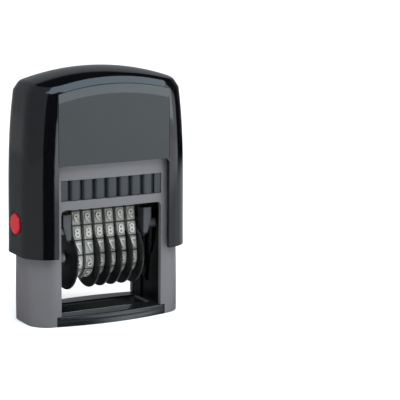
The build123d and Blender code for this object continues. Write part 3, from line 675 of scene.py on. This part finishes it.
def band_recipe():
    """A flat belt and its characters, wrapped around a closed path that lies across X."""
    recipe = Recipe("type_band", {
        "Path": "NodeSocketObject", "Belt": "NodeSocketObject", "Faces": "NodeSocketCollection",
        "Positions": "NodeSocketInt", "Pitch": "NodeSocketFloat", "Across": "NodeSocketFloat",
        "Type Height": "NodeSocketFloat",
    })
    path = recipe.add("GeometryNodeObjectInfo", {}, {"Object": recipe["Path"]}, "Geometry")
    belt = recipe.add("GeometryNodeObjectInfo", {}, {"Object": recipe["Belt"]}, "Geometry")
    faces = recipe.add("GeometryNodeCollectionInfo", {}, {
        "Collection": recipe["Faces"], "Separate Children": True, "Reset Children": True,
    })
    step = recipe.add("ShaderNodeCombineXYZ", {}, {"Y": recipe["Pitch"]})
    places = recipe.add("GeometryNodeMeshLine", {}, {
        "Count": recipe["Positions"], "Offset": step,
    })
    characters = recipe.add("GeometryNodeInstanceOnPoints", {}, {
        "Points": places, "Instance": faces, "Pick Instance": True,
        "Instance Index": recipe.add("GeometryNodeInputIndex"),
    })
    characters = recipe.add("GeometryNodeRealizeInstances", {}, {"Geometry": characters})
    flat = recipe.add("GeometryNodeJoinGeometry", {}, {"Geometry": [belt, characters]})
    place = recipe.add("ShaderNodeSeparateXYZ", {}, {
        "Vector": recipe.add("GeometryNodeInputPosition"),
    })
    share = place.other("Z") / recipe["Type Height"]
    per_point = {"data_type": "FLOAT", "domain": "POINT"}
    flat = recipe.add("GeometryNodeStoreNamedAttribute", per_point, {
        "Geometry": flat, "Name": "type_depth", "Value": share,
    })
    length = recipe.add("GeometryNodeCurveLength", {}, {"Curve": path})
    sample = recipe.add("GeometryNodeSampleCurve", {"mode": "LENGTH"}, {
        "Curves": path, "Length": place.other("Y") % length,
    }, "Position")
    across = (1.0, 0.0, 0.0)
    outwards = recipe.vector("CROSS_PRODUCT", sample.other("Tangent"), across)
    outwards = recipe.vector("NORMALIZE", outwards)
    sideways = recipe.add("ShaderNodeCombineXYZ", {}, {"X": place.other("X") + recipe["Across"]})
    wrapped = recipe.vector("ADD", sample, recipe.scaled(outwards, place.other("Z")))
    wrapped = recipe.vector("ADD", wrapped, sideways)
    round_path = recipe.add("GeometryNodeSetPosition", {}, {"Geometry": flat, "Position": wrapped})
    recipe.close(recipe.add("GeometryNodeFlipFaces", {}, {"Mesh": round_path}))
    return recipe


# ---------------------------------------------------------------- number bands
def belt_path(sizes):
    """Points along a belt's outside, from the middle of its nose towards the front and round."""
    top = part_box("number_band_1")[1].z - sizes.type_height
    nose_z = top - sizes.nose_corner
    half, corner, drum = sizes.nose_half, sizes.nose_corner, sizes.drum_radius
    rise = nose_z - AXLE_HEIGHT
    lean = asin((drum - corner) / hypot(half, rise)) - atan2(half, rise)

    def arc(y, z, radius, begin, end):
        steps = max(2, int(abs(end - begin) * radius / sizes.path_step))
        turns = [begin + (end - begin) * k / steps for k in range(steps + 1)]
        return [(y + radius * cos(turn), z + radius * sin(turn)) for turn in turns]

    corners = [(0.0, top)]
    corners += arc(-half, nose_z, corner, pi / 2, pi - lean)
    corners += arc(0.0, AXLE_HEIGHT, drum, pi - lean, 2 * pi + lean)
    corners += arc(half, nose_z, corner, lean, pi / 2)
    corners += [(0.0, top)]
    points = []
    for (y0, z0), (y1, z1) in zip(corners, corners[1:]):
        steps = max(1, round(hypot(y1 - y0, z1 - z0) / sizes.path_step))
        for k in range(steps):
            points.append((0.0, y0 + (y1 - y0) * k / steps, z0 + (z1 - z0) * k / steps))
    return points


def path_length(points):
    """The length of a closed path."""
    loop = points + points[:1]
    return sum((Vector(b) - Vector(a)).length for a, b in zip(loop, loop[1:]))


def path_object(points):
    """A closed path as a curve."""
    curve = bpy.data.curves.new("belt_path", "CURVE")
    curve.dimensions = "3D"
    spline = curve.splines.new("POLY")
    spline.points.add(len(points) - 1)
    for point, place in zip(spline.points, points):
        point.co = (*place, 1.0)
    spline.use_cyclic_u = True
    return in_scene("belt_path", curve)


def flat_belt(sizes, length):
    """The belt laid flat: its section, with eased corners, along Y."""
    half, thick, ease = sizes.band_width / 2, sizes.band_thickness, sizes.belt_ease
    section = [
        (-half + ease, 0.0), (half - ease, 0.0), (half, -ease), (half, ease - thick),
        (half - ease, -thick), (ease - half, -thick), (-half, ease - thick), (-half, -ease),
    ]
    steps = round(length / sizes.belt_step)
    points = [(x, length * k / steps, z) for k in range(steps) for x, z in section]
    return plain_mesh("flat_belt", points, ring_faces(steps, len(section)), sharp=radians(30))


def plinth(sizes, pitch, low, high):
    """The low raised cell under a character, with sloping sides and rounded corners."""
    half_x = sizes.band_width / 2 - sizes.cell_margin
    half_y = pitch / 2 - sizes.cell_gap / 2
    corner, slope, rim = sizes.cell_corner, sizes.cell_slope, sizes.cell_rim
    rings = (
        (low, 0.0), (high, slope), (high, slope + rim), (high - sizes.cell_dish, slope + 2 * rim),
    )
    corners = ((1, 1), (-1, 1), (-1, -1), (1, -1))
    steps = 4
    points = []
    for z, inset in rings:
        for quarter, (sx, sy) in enumerate(corners):
            for k in range(steps + 1):
                turn = quarter * pi / 2 + pi / 2 * k / steps
                points.append((
                    sx * (half_x - corner) + (corner - inset) * cos(turn),
                    sy * (half_y - corner) + (corner - inset) * sin(turn),
                    z,
                ))
    count = len(corners) * (steps + 1)
    faces = [tuple(reversed(range(count)))]
    faces += ring_faces(len(rings), count, closed=False)
    faces.append(tuple(range(count * (len(rings) - 1), count * len(rings))))
    return points, faces


def character_mesh(sign, sizes):
    """One raised character with sloping shoulders, as a mesh around the origin."""
    text = bpy.data.curves.new("sign", "FONT")
    text.body = sign
    text.align_x = "CENTER"
    text.align_y = "CENTER"
    text.size = sizes.character_size
    text.resolution_u = 3
    text.extrude = sizes.character_rise / 2 - sizes.character_slope / 2
    text.bevel_depth = sizes.character_slope
    text.bevel_resolution = 0
    text.offset = sizes.character_weight
    holder = in_scene("sign", text)
    graph = bpy.context.evaluated_depsgraph_get()
    mesh = bpy.data.meshes.new_from_object(holder.evaluated_get(graph))
    bpy.data.objects.remove(holder)
    bpy.data.curves.remove(text)
    xs = [v.co.x for v in mesh.vertices]
    ys = [v.co.y for v in mesh.vertices]
    middle = (min(ys) + max(ys)) / 2 if sign.isdigit() else 0.0
    shift = Vector(((min(xs) + max(xs)) / 2, middle, 0.0))
    mesh.transform(Matrix.Rotation(pi, 4, "Z") @ Matrix.Translation(-shift))
    if sign.isdigit():
        most = 1.35  # a narrow numeral is widened by this much at most
        wider = min(sizes.character_wide / (max(xs) - min(xs)), most)
        taller = sizes.character_tall / (max(ys) - min(ys))
        mesh.transform(Matrix.Diagonal((wider, taller, 1.0, 1.0)))
    return mesh


def type_face(sign, sizes, pitch):
    """A cell with its character, cut across so that it can bend."""
    sunk = -0.05 * MM  # the cell's foot lies just inside the belt
    points, faces = plinth(sizes, pitch, sunk, sizes.cell_height)
    work = bmesh.new()
    verts = [work.verts.new(p) for p in points]
    for face in faces:
        work.faces.new([verts[i] for i in face])
    sign_mesh = character_mesh(sign, sizes)
    top = max(v.co.z for v in sign_mesh.vertices)
    sign_mesh.transform(Matrix.Translation((0.0, 0.0, sizes.type_height - top)))
    work.from_mesh(sign_mesh)
    bpy.data.meshes.remove(sign_mesh)
    cuts = int(pitch / sizes.bend_step)
    for k in range(cuts + 1):
        y = -pitch / 2 + k * sizes.bend_step
        bmesh.ops.bisect_plane(
            work, geom=work.verts[:] + work.edges[:] + work.faces[:],
            plane_co=(0.0, y, 0.0), plane_no=(0.0, 1.0, 0.0), dist=0.001 * MM,
        )
    bmesh.ops.triangulate(work, faces=[f for f in work.faces if len(f.verts) > 4])
    mesh = bpy.data.meshes.new("type_face")
    work.to_mesh(mesh)
    work.free()
    mesh.shade_smooth()
    mesh.set_sharp_from_angle(angle=radians(30))
    return mesh


def make_bands(sizes):
    """Six rubber bands with their raised characters."""
    points = belt_path(sizes)
    length = path_length(points)
    pitch = length / len(TYPE_FACES)
    path = path_object(points)
    belt = in_scene("flat_belt", flat_belt(sizes, length))
    cells = bpy.data.collections.new("type_faces")
    scraps = [path, belt]
    for k, sign in enumerate(TYPE_FACES):
        cell = bpy.data.objects.new(f"cell_{k:02d}", type_face(sign, sizes, pitch))
        cells.objects.link(cell)
        scraps.append(cell)
    recipe = band_recipe()
    for n in range(1, BAND_COUNT + 1):
        node = f"number_band_{n}"
        low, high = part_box(node)
        mesh = recipe.bake(f"band_{n}", finish_of(node), {
            "Path": path, "Belt": belt, "Faces": cells, "Positions": len(TYPE_FACES),
            "Pitch": pitch, "Across": (low.x + high.x) / 2, "Type Height": sizes.type_height,
        })
        new_piece(f"band_{n}", mesh, node, [node])
    for helper in scraps:
        bpy.data.objects.remove(helper)
    bpy.data.collections.remove(cells)


# ---------------------------------------------------------------- thumb wheels
def make_wheel(n, sizes):
    """A thin knurled disc with its drum, turned about the axle."""
    node = f"number_wheel_{n}"
    low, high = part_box(node)
    # The first wheel's disc is on the left of its band, the others' on the right.
    side = -1 if n == 1 else 1
    outer, inner = (low.x, high.x) if side < 0 else (high.x, low.x)
    disc_in = outer - side * sizes.disc_thickness
    radius, drum = sizes.wheel_radius, sizes.wheel_drum
    rim, hub, bore = radius - sizes.rim_width, sizes.hub_radius, sizes.bore_radius
    dish, ease = sizes.wheel_dish, sizes.wheel_ease
    profile = [
        (bore, outer), (hub - ease, outer), (hub, outer - side * dish),
        (rim, outer - side * dish), (rim + ease, outer),
        (radius - ease, outer), (radius, outer - side * ease), (radius, disc_in + side * ease),
        (radius - ease, disc_in), (drum + 2 * ease, disc_in), (drum, disc_in - side * 2 * ease),
        (drum, inner + side * ease), (drum - ease, inner), (bore, inner),
    ]
    knurled = {5: 0.6, 6: 1.0, 7: 1.0, 8: 0.6}  # profile points, and their share of the depth
    fluted = (10, 11)

    def reach(j, r, turn):
        if j in fluted:
            return r - sizes.flute_depth * max(0.0, cos(sizes.flutes * turn)) ** 6
        tooth = (turn * sizes.teeth / (2 * pi)) % 1.0
        return r - sizes.tooth_depth * knurled.get(j, 0.0) * abs(2 * tooth - 1)

    points, faces = lathe(profile, AXLE_HEIGHT, 4 * sizes.teeth, reach)
    new_piece(f"wheel_{n}", closed_mesh(node, points, faces, radians(24)), node, [node])


def make_clip(hand, sizes):
    """A domed push-on clip at one end of the axle."""
    node = f"axle_clip_{hand}"
    low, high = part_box(node)
    inner, out = (high.x, -1) if hand == "left" else (low.x, 1)
    radius, bore, steps = sizes.clip_radius, sizes.clip_bore, 8
    skirt = 0.3  # the straight share of the rise, below the dome
    profile = [(bore, inner), (radius, inner)]
    for k in range(steps + 1):
        turn = pi / 2 * k / steps
        rise = sizes.clip_rise * (skirt + (1 - skirt) * sin(turn))
        profile.append((bore + (radius - bore) * cos(turn), inner + out * rise))
    points, faces = lathe(profile, AXLE_HEIGHT, 48)
    new_piece(f"clip_{hand}", closed_mesh(node, points, faces, radians(35)), node, [node])


# ---------------------------------------------------------------- ink cartridge ribs
def rib_mesh(wide, tall, crown, root):
    """A grip rib with a crowned front, standing on the XZ plane."""
    steps = 10
    section = []
    for k in range(steps + 1):
        section.append((wide * (k / steps - 0.5), -crown * (1 - (2 * k / steps - 1) ** 4)))
    section += [(wide / 2, root), (-wide / 2, root)]
    count = len(section)
    points = [(x, y, z) for z in (0.0, tall) for x, y in section]
    faces = [tuple(reversed(range(count))), tuple(range(count, 2 * count))]
    faces += ring_faces(2, count, closed=False)
    return closed_mesh("rib", points, faces, radians(40))


def make_ribs(sizes):
    """Crowned ribs along the front and back of the ink cartridge."""
    low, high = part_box("pad_cartridge")
    pitch, ribs = sizes.rib_pitch, sizes.rib_count
    wide = pitch - sizes.rib_groove
    tall = high.z - low.z
    recipe = row_recipe()
    material = finish_of("pad_cartridge")
    for name, face, turn in (("front", low.y, 0.0), ("back", high.y, pi)):
        rib = in_scene("rib", rib_mesh(wide, tall, sizes.rib_crown, sizes.rib_root))
        rib.data.transform(Matrix.Rotation(turn, 4, "Z"))
        mesh = recipe.bake(f"cartridge_ribs_{name}", material, {
            "Shape": rib, "Count": ribs,
            "First": (-pitch * (ribs - 1) / 2, face, low.z), "Step": (pitch, 0.0, 0.0),
        })
        bpy.data.objects.remove(rib)
        new_piece(f"cartridge_ribs_{name}", mesh, "pad_cartridge")


# ---------------------------------------------------------------- return spring
def make_spring(sizes):
    """The return spring."""
    low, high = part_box("return_spring")
    wire = sizes.spring_wire
    whole = high.z - low.z
    mesh = coil_recipe().bake("spring", finish_of("return_spring"), {
        "Turns": float(sizes.spring_turns), "Radius": (high.x - low.x) / 2 - wire,
        "Height": whole - 2 * wire, "Wire": wire, "Foot": (0.0, 0.0, low.z + wire),
    })
    mesh.shade_smooth()
    spring = new_piece("spring", mesh, "return_spring", ["return_spring"])
    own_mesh(spring)


# ---------------------------------------------------------------- stage
RAYS = ("camera", "diffuse", "glossy", "transmission", "volume_scatter", "shadow")

# What polished pieces mirror, by heading: degrees from the front towards the right, and a tone.
# The walls' brightness, and how high they reach, as the Z of a direction.
WALL_TONES = (
    (-180, 0.30), (-100, 0.42), (-46, 0.50), (-42, 0.01), (100, 0.01), (135, 0.25), (179, 0.30),
)
WALL_REACH = (
    (-180, 0.66), (-150, 0.74), (-118, 0.84), (-50, 0.84), (-42, 0.36), (110, 0.34),
    (140, 0.41), (165, 0.54), (179, 0.64),
)
WALL_FADE = 0.07
WALL_TINT = (0.93, 0.98, 1.05)
CEILING_SHARE = 0.02
# The table's brightness near the machine, farther away and out towards the walls. Headings are
# seen from the front plate's left corner. The dark ones from -42 to 1 lie towards the camera.
CARD_LEFT = (
    (-180, 0.22), (-172, 0.10), (-150, 0.11), (-90, 0.22), (-44, 0.22), (-42, 0.0), (1, 0.0),
)
CARD_NEAR = CARD_LEFT + (
    (6, 0.42), (40, 0.42), (60, 0.36), (78, 0.36), (82, 0.28), (130, 0.28), (150, 0.30),
    (179, 0.23),
)
CARD_FAR = CARD_LEFT + (
    (6, 1.0), (26, 1.0), (50, 0.7), (78, 0.7), (82, 0.0), (130, 0.0), (150, 0.30), (179, 0.23),
)
CARD_OUTER = (
    (-180, 0.14), (-100, 0.17), (-46, 0.19), (-42, 0.0), (1, 0.0), (6, 1.0), (20, 0.9),
    (30, 0.55), (78, 0.55), (82, 0.0), (100, 0.0), (150, 0.12), (179, 0.14),
)
# Where one of these tones gives way to the next: metres from the machine's middle, and for the
# far one by heading.
CARD_NEAR_FROM = (60 * MM, 110 * MM)
CARD_FAR_FROM = ((-180, 0.25), (50, 0.25), (82, 0.35), (179, 0.35))
CARD_FAR_FADE = 140 * MM
CARD_OUTER_FROM = (560 * MM, 620 * MM)
CARD_TINT = (0.95, 1.0, 1.05)
CARD_GLOW = 2.6
CARD_HEIGHT = -0.5 * MM


def make_sky(stage):
    """A very soft light from straight above, for the floor and the matt pieces."""
    light = bpy.data.lights.new("sky", "SUN")
    light.energy = stage.sky
    light.angle = stage.sky_angle
    in_scene("sky", light).visible_glossy = False


def make_softbox(name, place, aim, width, height, watts, tone):
    """A softbox at one place that faces another."""
    light = bpy.data.lights.new(name, "AREA")
    light.shape = "RECTANGLE"
    light.size = width
    light.size_y = height
    light.energy = watts
    light.color = tone
    place, aim = Vector(place), Vector(aim)
    look = (aim - place).to_track_quat("-Z", "Y").to_matrix().to_4x4()
    in_scene(name, light).matrix_world = Matrix.Translation(place) @ look


def stage_piece(name, points, faces, finish, seen_by):
    """A piece of the stage in its finish, seen only by these kinds of ray."""
    piece = in_scene(name, plain_mesh(name, points, faces))
    piece.data.materials.append(finish.material)
    for kind in RAYS:
        setattr(piece, "visible_" + kind, kind in seen_by)


def level_square(half, height):
    """Points and face of a level square around the machine."""
    corners = ((-half, -half), (half, -half), (half, half), (-half, half))
    return [(x, y, height) for x, y in corners], [(0, 1, 2, 3)]


def only_glows(finish, colour, strength):
    """Gives a finish light of its own and nothing else."""
    finish.put("Base Color", (0.0, 0.0, 0.0, 1.0))
    finish.put("Specular IOR Level", 0.0)
    finish.put("Emission Color", colour)
    finish.put("Emission Strength", strength)


def make_floor(stage):
    """The pale floor, which polished pieces don't mirror: the table card stands in for it there."""
    finish = Finish("floor")
    finish.put("Base Color", rgba(stage.floor_tone))
    finish.put("Roughness", 0.9)
    finish.put("Specular IOR Level", 0.1)
    seen_by = [kind for kind in RAYS if kind != "glossy"]
    stage_piece("floor", *level_square(stage.floor_size, 0.0), finish, seen_by)


def make_backdrop(stage):
    """A white round wall inside the floor's edge, which only closes the view."""
    steps, radius = 64, stage.backdrop_radius
    turns = [2 * pi * k / steps for k in range(steps)]
    points = [(radius * cos(t), radius * sin(t), z) for z in (0.0, radius) for t in turns]
    finish = Finish("backdrop")
    only_glows(finish, (1.0, 1.0, 1.0, 1.0), 1.0)
    stage_piece("backdrop", points, ring_faces(2, steps, closed=False), finish, ["camera"])


def heading(x, y):
    """A heading as a share of a turn: 0.25 is to the left, 0.5 to the front, 0.75 to the right."""
    return x.maths("ARCTAN2", x, -1 * y) / (2 * pi) + 0.5


def tone_by_heading(nodes, turn, tones):
    """The tone at a heading, from pairs of degrees from the front towards the right and a tone."""
    stops = [((degrees + 180) / 360, (tone, tone, tone)) for degrees, tone in tones]
    ramp = nodes.add("ShaderNodeValToRGB", {"stops": stops}, {"Fac": turn})
    return nodes.add("ShaderNodeRGBToBW", {}, {"Color": ramp})


def make_world():
    """A studio that is dark to the front and the right, with paler walls behind and to the left."""
    world = bpy.data.worlds.new("studio")
    bpy.context.scene.world = world
    world.use_nodes = True
    world.node_tree.nodes.clear()
    nodes = Nodes(world.node_tree)
    direction = nodes.vector("NORMALIZE", nodes.add("ShaderNodeTexCoord", out="Generated"))
    axes = nodes.add("ShaderNodeSeparateXYZ", {}, {"Vector": direction})
    turn = heading(axes, axes.other("Y"))
    walls = tone_by_heading(nodes, turn, WALL_TONES)
    reach = tone_by_heading(nodes, turn, WALL_REACH)
    overhead = soft_step(nodes, axes.other("Z"), reach, reach + WALL_FADE, 1.0, CEILING_SHARE)
    shade = nodes.add("ShaderNodeBackground", {}, {
        "Color": nodes.scaled(WALL_TINT, walls * overhead),
    })
    nodes.add("ShaderNodeOutputWorld", {}, {"Surface": shade})


def make_table_card(stage):
    """What polished pieces see of the table: dark towards the camera, brightest to its right."""
    finish = Finish("table_card")
    axes = finish.add("ShaderNodeSeparateXYZ", {}, {"Vector": finish.place})
    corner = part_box("front_fascia")[0]
    turn = heading(axes - corner.x, axes.other("Y") - corner.y)
    away = finish.vector("LENGTH", finish.place, None, "Value")

    def given_way(inner, outer, begin, end):
        """From the inner tone to the outer one, between two distances."""
        share = soft_step(finish, away, begin, end, 0.0, 1.0)
        return inner * (1 - share) + outer * share

    # Beside the foot only a patch in front of its right half is bright.
    tone = soft_step(finish, axes, -12 * MM, 8 * MM, 0.05, 1.0)
    tone = tone * soft_step(finish, axes, 18 * MM, 32 * MM, 1.0, 0.3)
    tone = tone * soft_step(finish, axes.other("Y"), -20 * MM, -16 * MM, 1.0, 0.1)
    near, far, outer = [
        tone_by_heading(finish, turn, tones) for tones in (CARD_NEAR, CARD_FAR, CARD_OUTER)
    ]
    tone = given_way(tone, near, *CARD_NEAR_FROM)
    far_from = tone_by_heading(finish, turn, CARD_FAR_FROM)
    tone = given_way(tone, far, far_from, far_from + CARD_FAR_FADE)
    tone = given_way(tone, outer, *CARD_OUTER_FROM)
    only_glows(finish, finish.scaled(CARD_TINT, tone), CARD_GLOW)
    stage_piece("table_card", *level_square(stage.card_size, CARD_HEIGHT), finish, ["glossy"])


def make_camera(stage):
    """The camera, from its place and its three angles."""
    a, e, roll = stage.azimuth, stage.elevation, stage.roll
    forward = Vector((sin(a) * cos(e), cos(a) * cos(e), -sin(e)))
    right = Vector((cos(a), -sin(a), 0.0))
    up = right.cross(forward)
    right, up = right * cos(roll) + up * sin(roll), up * cos(roll) - right * sin(roll)
    data = bpy.data.cameras.new("camera")
    data.lens = stage.lens
    data.sensor_width = 36.0
    data.clip_start = 0.05
    data.clip_end = 30.0
    camera = in_scene("camera", data)
    stand = Matrix.Translation((stage.camera_x, stage.camera_y, stage.camera_z))
    camera.matrix_world = stand @ Matrix((right, up, -forward)).transposed().to_4x4()
    bpy.context.scene.camera = camera


# ---------------------------------------------------------------- operators
class NUMBERER_OT_stage(bpy.types.Operator):
    """Makes the floor, the light and the camera"""

    bl_idname = "numberer.stage"
    bl_label = "Stage"

    def execute(self, context):
        stage = context.scene.numberer_stage
        make_floor(stage)
        make_backdrop(stage)
        make_table_card(stage)
        make_world()
        make_sky(stage)
        for name in ("front", "upper"):
            parts = ("place", "aim", "width", "height", "power", "tone")
            make_softbox(name + "_softbox", *[getattr(stage, f"{name}_{part}") for part in parts])
        make_camera(stage)
        context.scene.view_settings.view_transform = "Standard"
        return {"FINISHED"}


class NUMBERER_OT_finishes(bpy.types.Operator):
    """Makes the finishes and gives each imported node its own"""

    bl_idname = "numberer.finishes"
    bl_label = "Finishes"

    def execute(self, context):
        scene = context.scene
        make_finishes(scene.numberer_colours, scene.numberer_sizes)
        for node, holder in frame["nodes"].items():
            holder.data.materials.clear()
            holder.data.materials.append(finish_of(node))
        return {"FINISHED"}


class NUMBERER_OT_casing(bpy.types.Operator):
    """Makes the cap, its plates, the base, the foot and the guide walls"""

    bl_idname = "numberer.casing"
    bl_label = "Casing"

    def execute(self, context):
        for node, name in (
            ("cap_shell", "cap"), ("front_fascia", "front_plate"), ("back_fascia", "back_plate"),
            ("base_frame", "base"), ("foot_frame", "foot"),
            ("guide_wall_left", "guide_left"), ("guide_wall_right", "guide_right"),
        ):
            welded(node, name)
        return {"FINISHED"}


class NUMBERER_OT_cartridge(bpy.types.Operator):
    """Makes the ink cartridge and its grip ribs"""

    bl_idname = "numberer.cartridge"
    bl_label = "Ink cartridge"

    def execute(self, context):
        welded("pad_cartridge", "cartridge")
        make_ribs(context.scene.numberer_sizes)
        return {"FINISHED"}


class NUMBERER_OT_bands(bpy.types.Operator):
    """Makes the rubber number bands"""

    bl_idname = "numberer.bands"
    bl_label = "Number bands"

    def execute(self, context):
        make_bands(context.scene.numberer_sizes)
        return {"FINISHED"}


class NUMBERER_OT_wheels(bpy.types.Operator):
    """Makes the knurled thumb wheels"""

    bl_idname = "numberer.wheels"
    bl_label = "Thumb wheels"

    def execute(self, context):
        for n in range(1, BAND_COUNT + 1):
            make_wheel(n, context.scene.numberer_sizes)
        return {"FINISHED"}


class NUMBERER_OT_carrier(bpy.types.Operator):
    """Makes the carrier's frame, cheeks, axle and clips"""

    bl_idname = "numberer.carrier"
    bl_label = "Carrier"

    def execute(self, context):
        for node in ("carrier_frame", "carrier_cheek_left", "carrier_cheek_right", "wheel_axle"):
            welded(node, node + "_body")
        for hand in ("left", "right"):
            make_clip(hand, context.scene.numberer_sizes)
        return {"FINISHED"}


class NUMBERER_OT_buttons(bpy.types.Operator):
    """Makes the red side buttons"""

    bl_idname = "numberer.buttons"
    bl_label = "Side buttons"

    def execute(self, context):
        for hand in ("left", "right"):
            welded(f"button_{hand}", f"{hand}_button")
        return {"FINISHED"}


class NUMBERER_OT_spring(bpy.types.Operator):
    """Makes the return spring"""

    bl_idname = "numberer.spring"
    bl_label = "Return spring"

    def execute(self, context):
        make_spring(context.scene.numberer_sizes)
        return {"FINISHED"}


class NUMBERER_PT_panel(bpy.types.Panel):
    """Lists the operators, the sizes, the colours and the stage"""

    bl_idname = "NUMBERER_PT_panel"
    bl_label = "Numberer"
    bl_space_type = "VIEW_3D"
    bl_region_type = "UI"
    bl_category = "Numberer"

    def draw(self, context):
        for maker in MAKERS:
            self.layout.operator(maker.bl_idname)
        for name, kind in GROUPS.items():
            box = self.layout.box()
            for part in kind.__annotations__:
                box.prop(getattr(context.scene, name), part)


MAKERS = (
    NUMBERER_OT_stage, NUMBERER_OT_finishes, NUMBERER_OT_casing, NUMBERER_OT_cartridge,
    NUMBERER_OT_bands, NUMBERER_OT_wheels, NUMBERER_OT_carrier, NUMBERER_OT_buttons,
    NUMBERER_OT_spring,
)
GROUPS = {
    "numberer_sizes": NumbererSizes,
    "numberer_colours": NumbererColours,
    "numberer_stage": NumbererStage,
}


def register():
    for kind in (*GROUPS.values(), *MAKERS, NUMBERER_PT_panel):
        bpy.utils.register_class(kind)
    for name, group in GROUPS.items():
        setattr(bpy.types.Scene, name, bpy.props.PointerProperty(type=group))


def unregister():
    for name in GROUPS:
        delattr(bpy.types.Scene, name)
    for kind in (NUMBERER_PT_panel, *reversed(MAKERS), *GROUPS.values()):
        bpy.utils.unregister_class(kind)


def main():
    register()
    bpy.ops.numberer.stage()
    bpy.ops.numberer.finishes()
    bpy.ops.numberer.casing()
    bpy.ops.numberer.cartridge()
    bpy.ops.numberer.bands()
    bpy.ops.numberer.wheels()
    bpy.ops.numberer.carrier()
    bpy.ops.numberer.buttons()
    bpy.ops.numberer.spring()


if __name__ == "__main__":
    main()
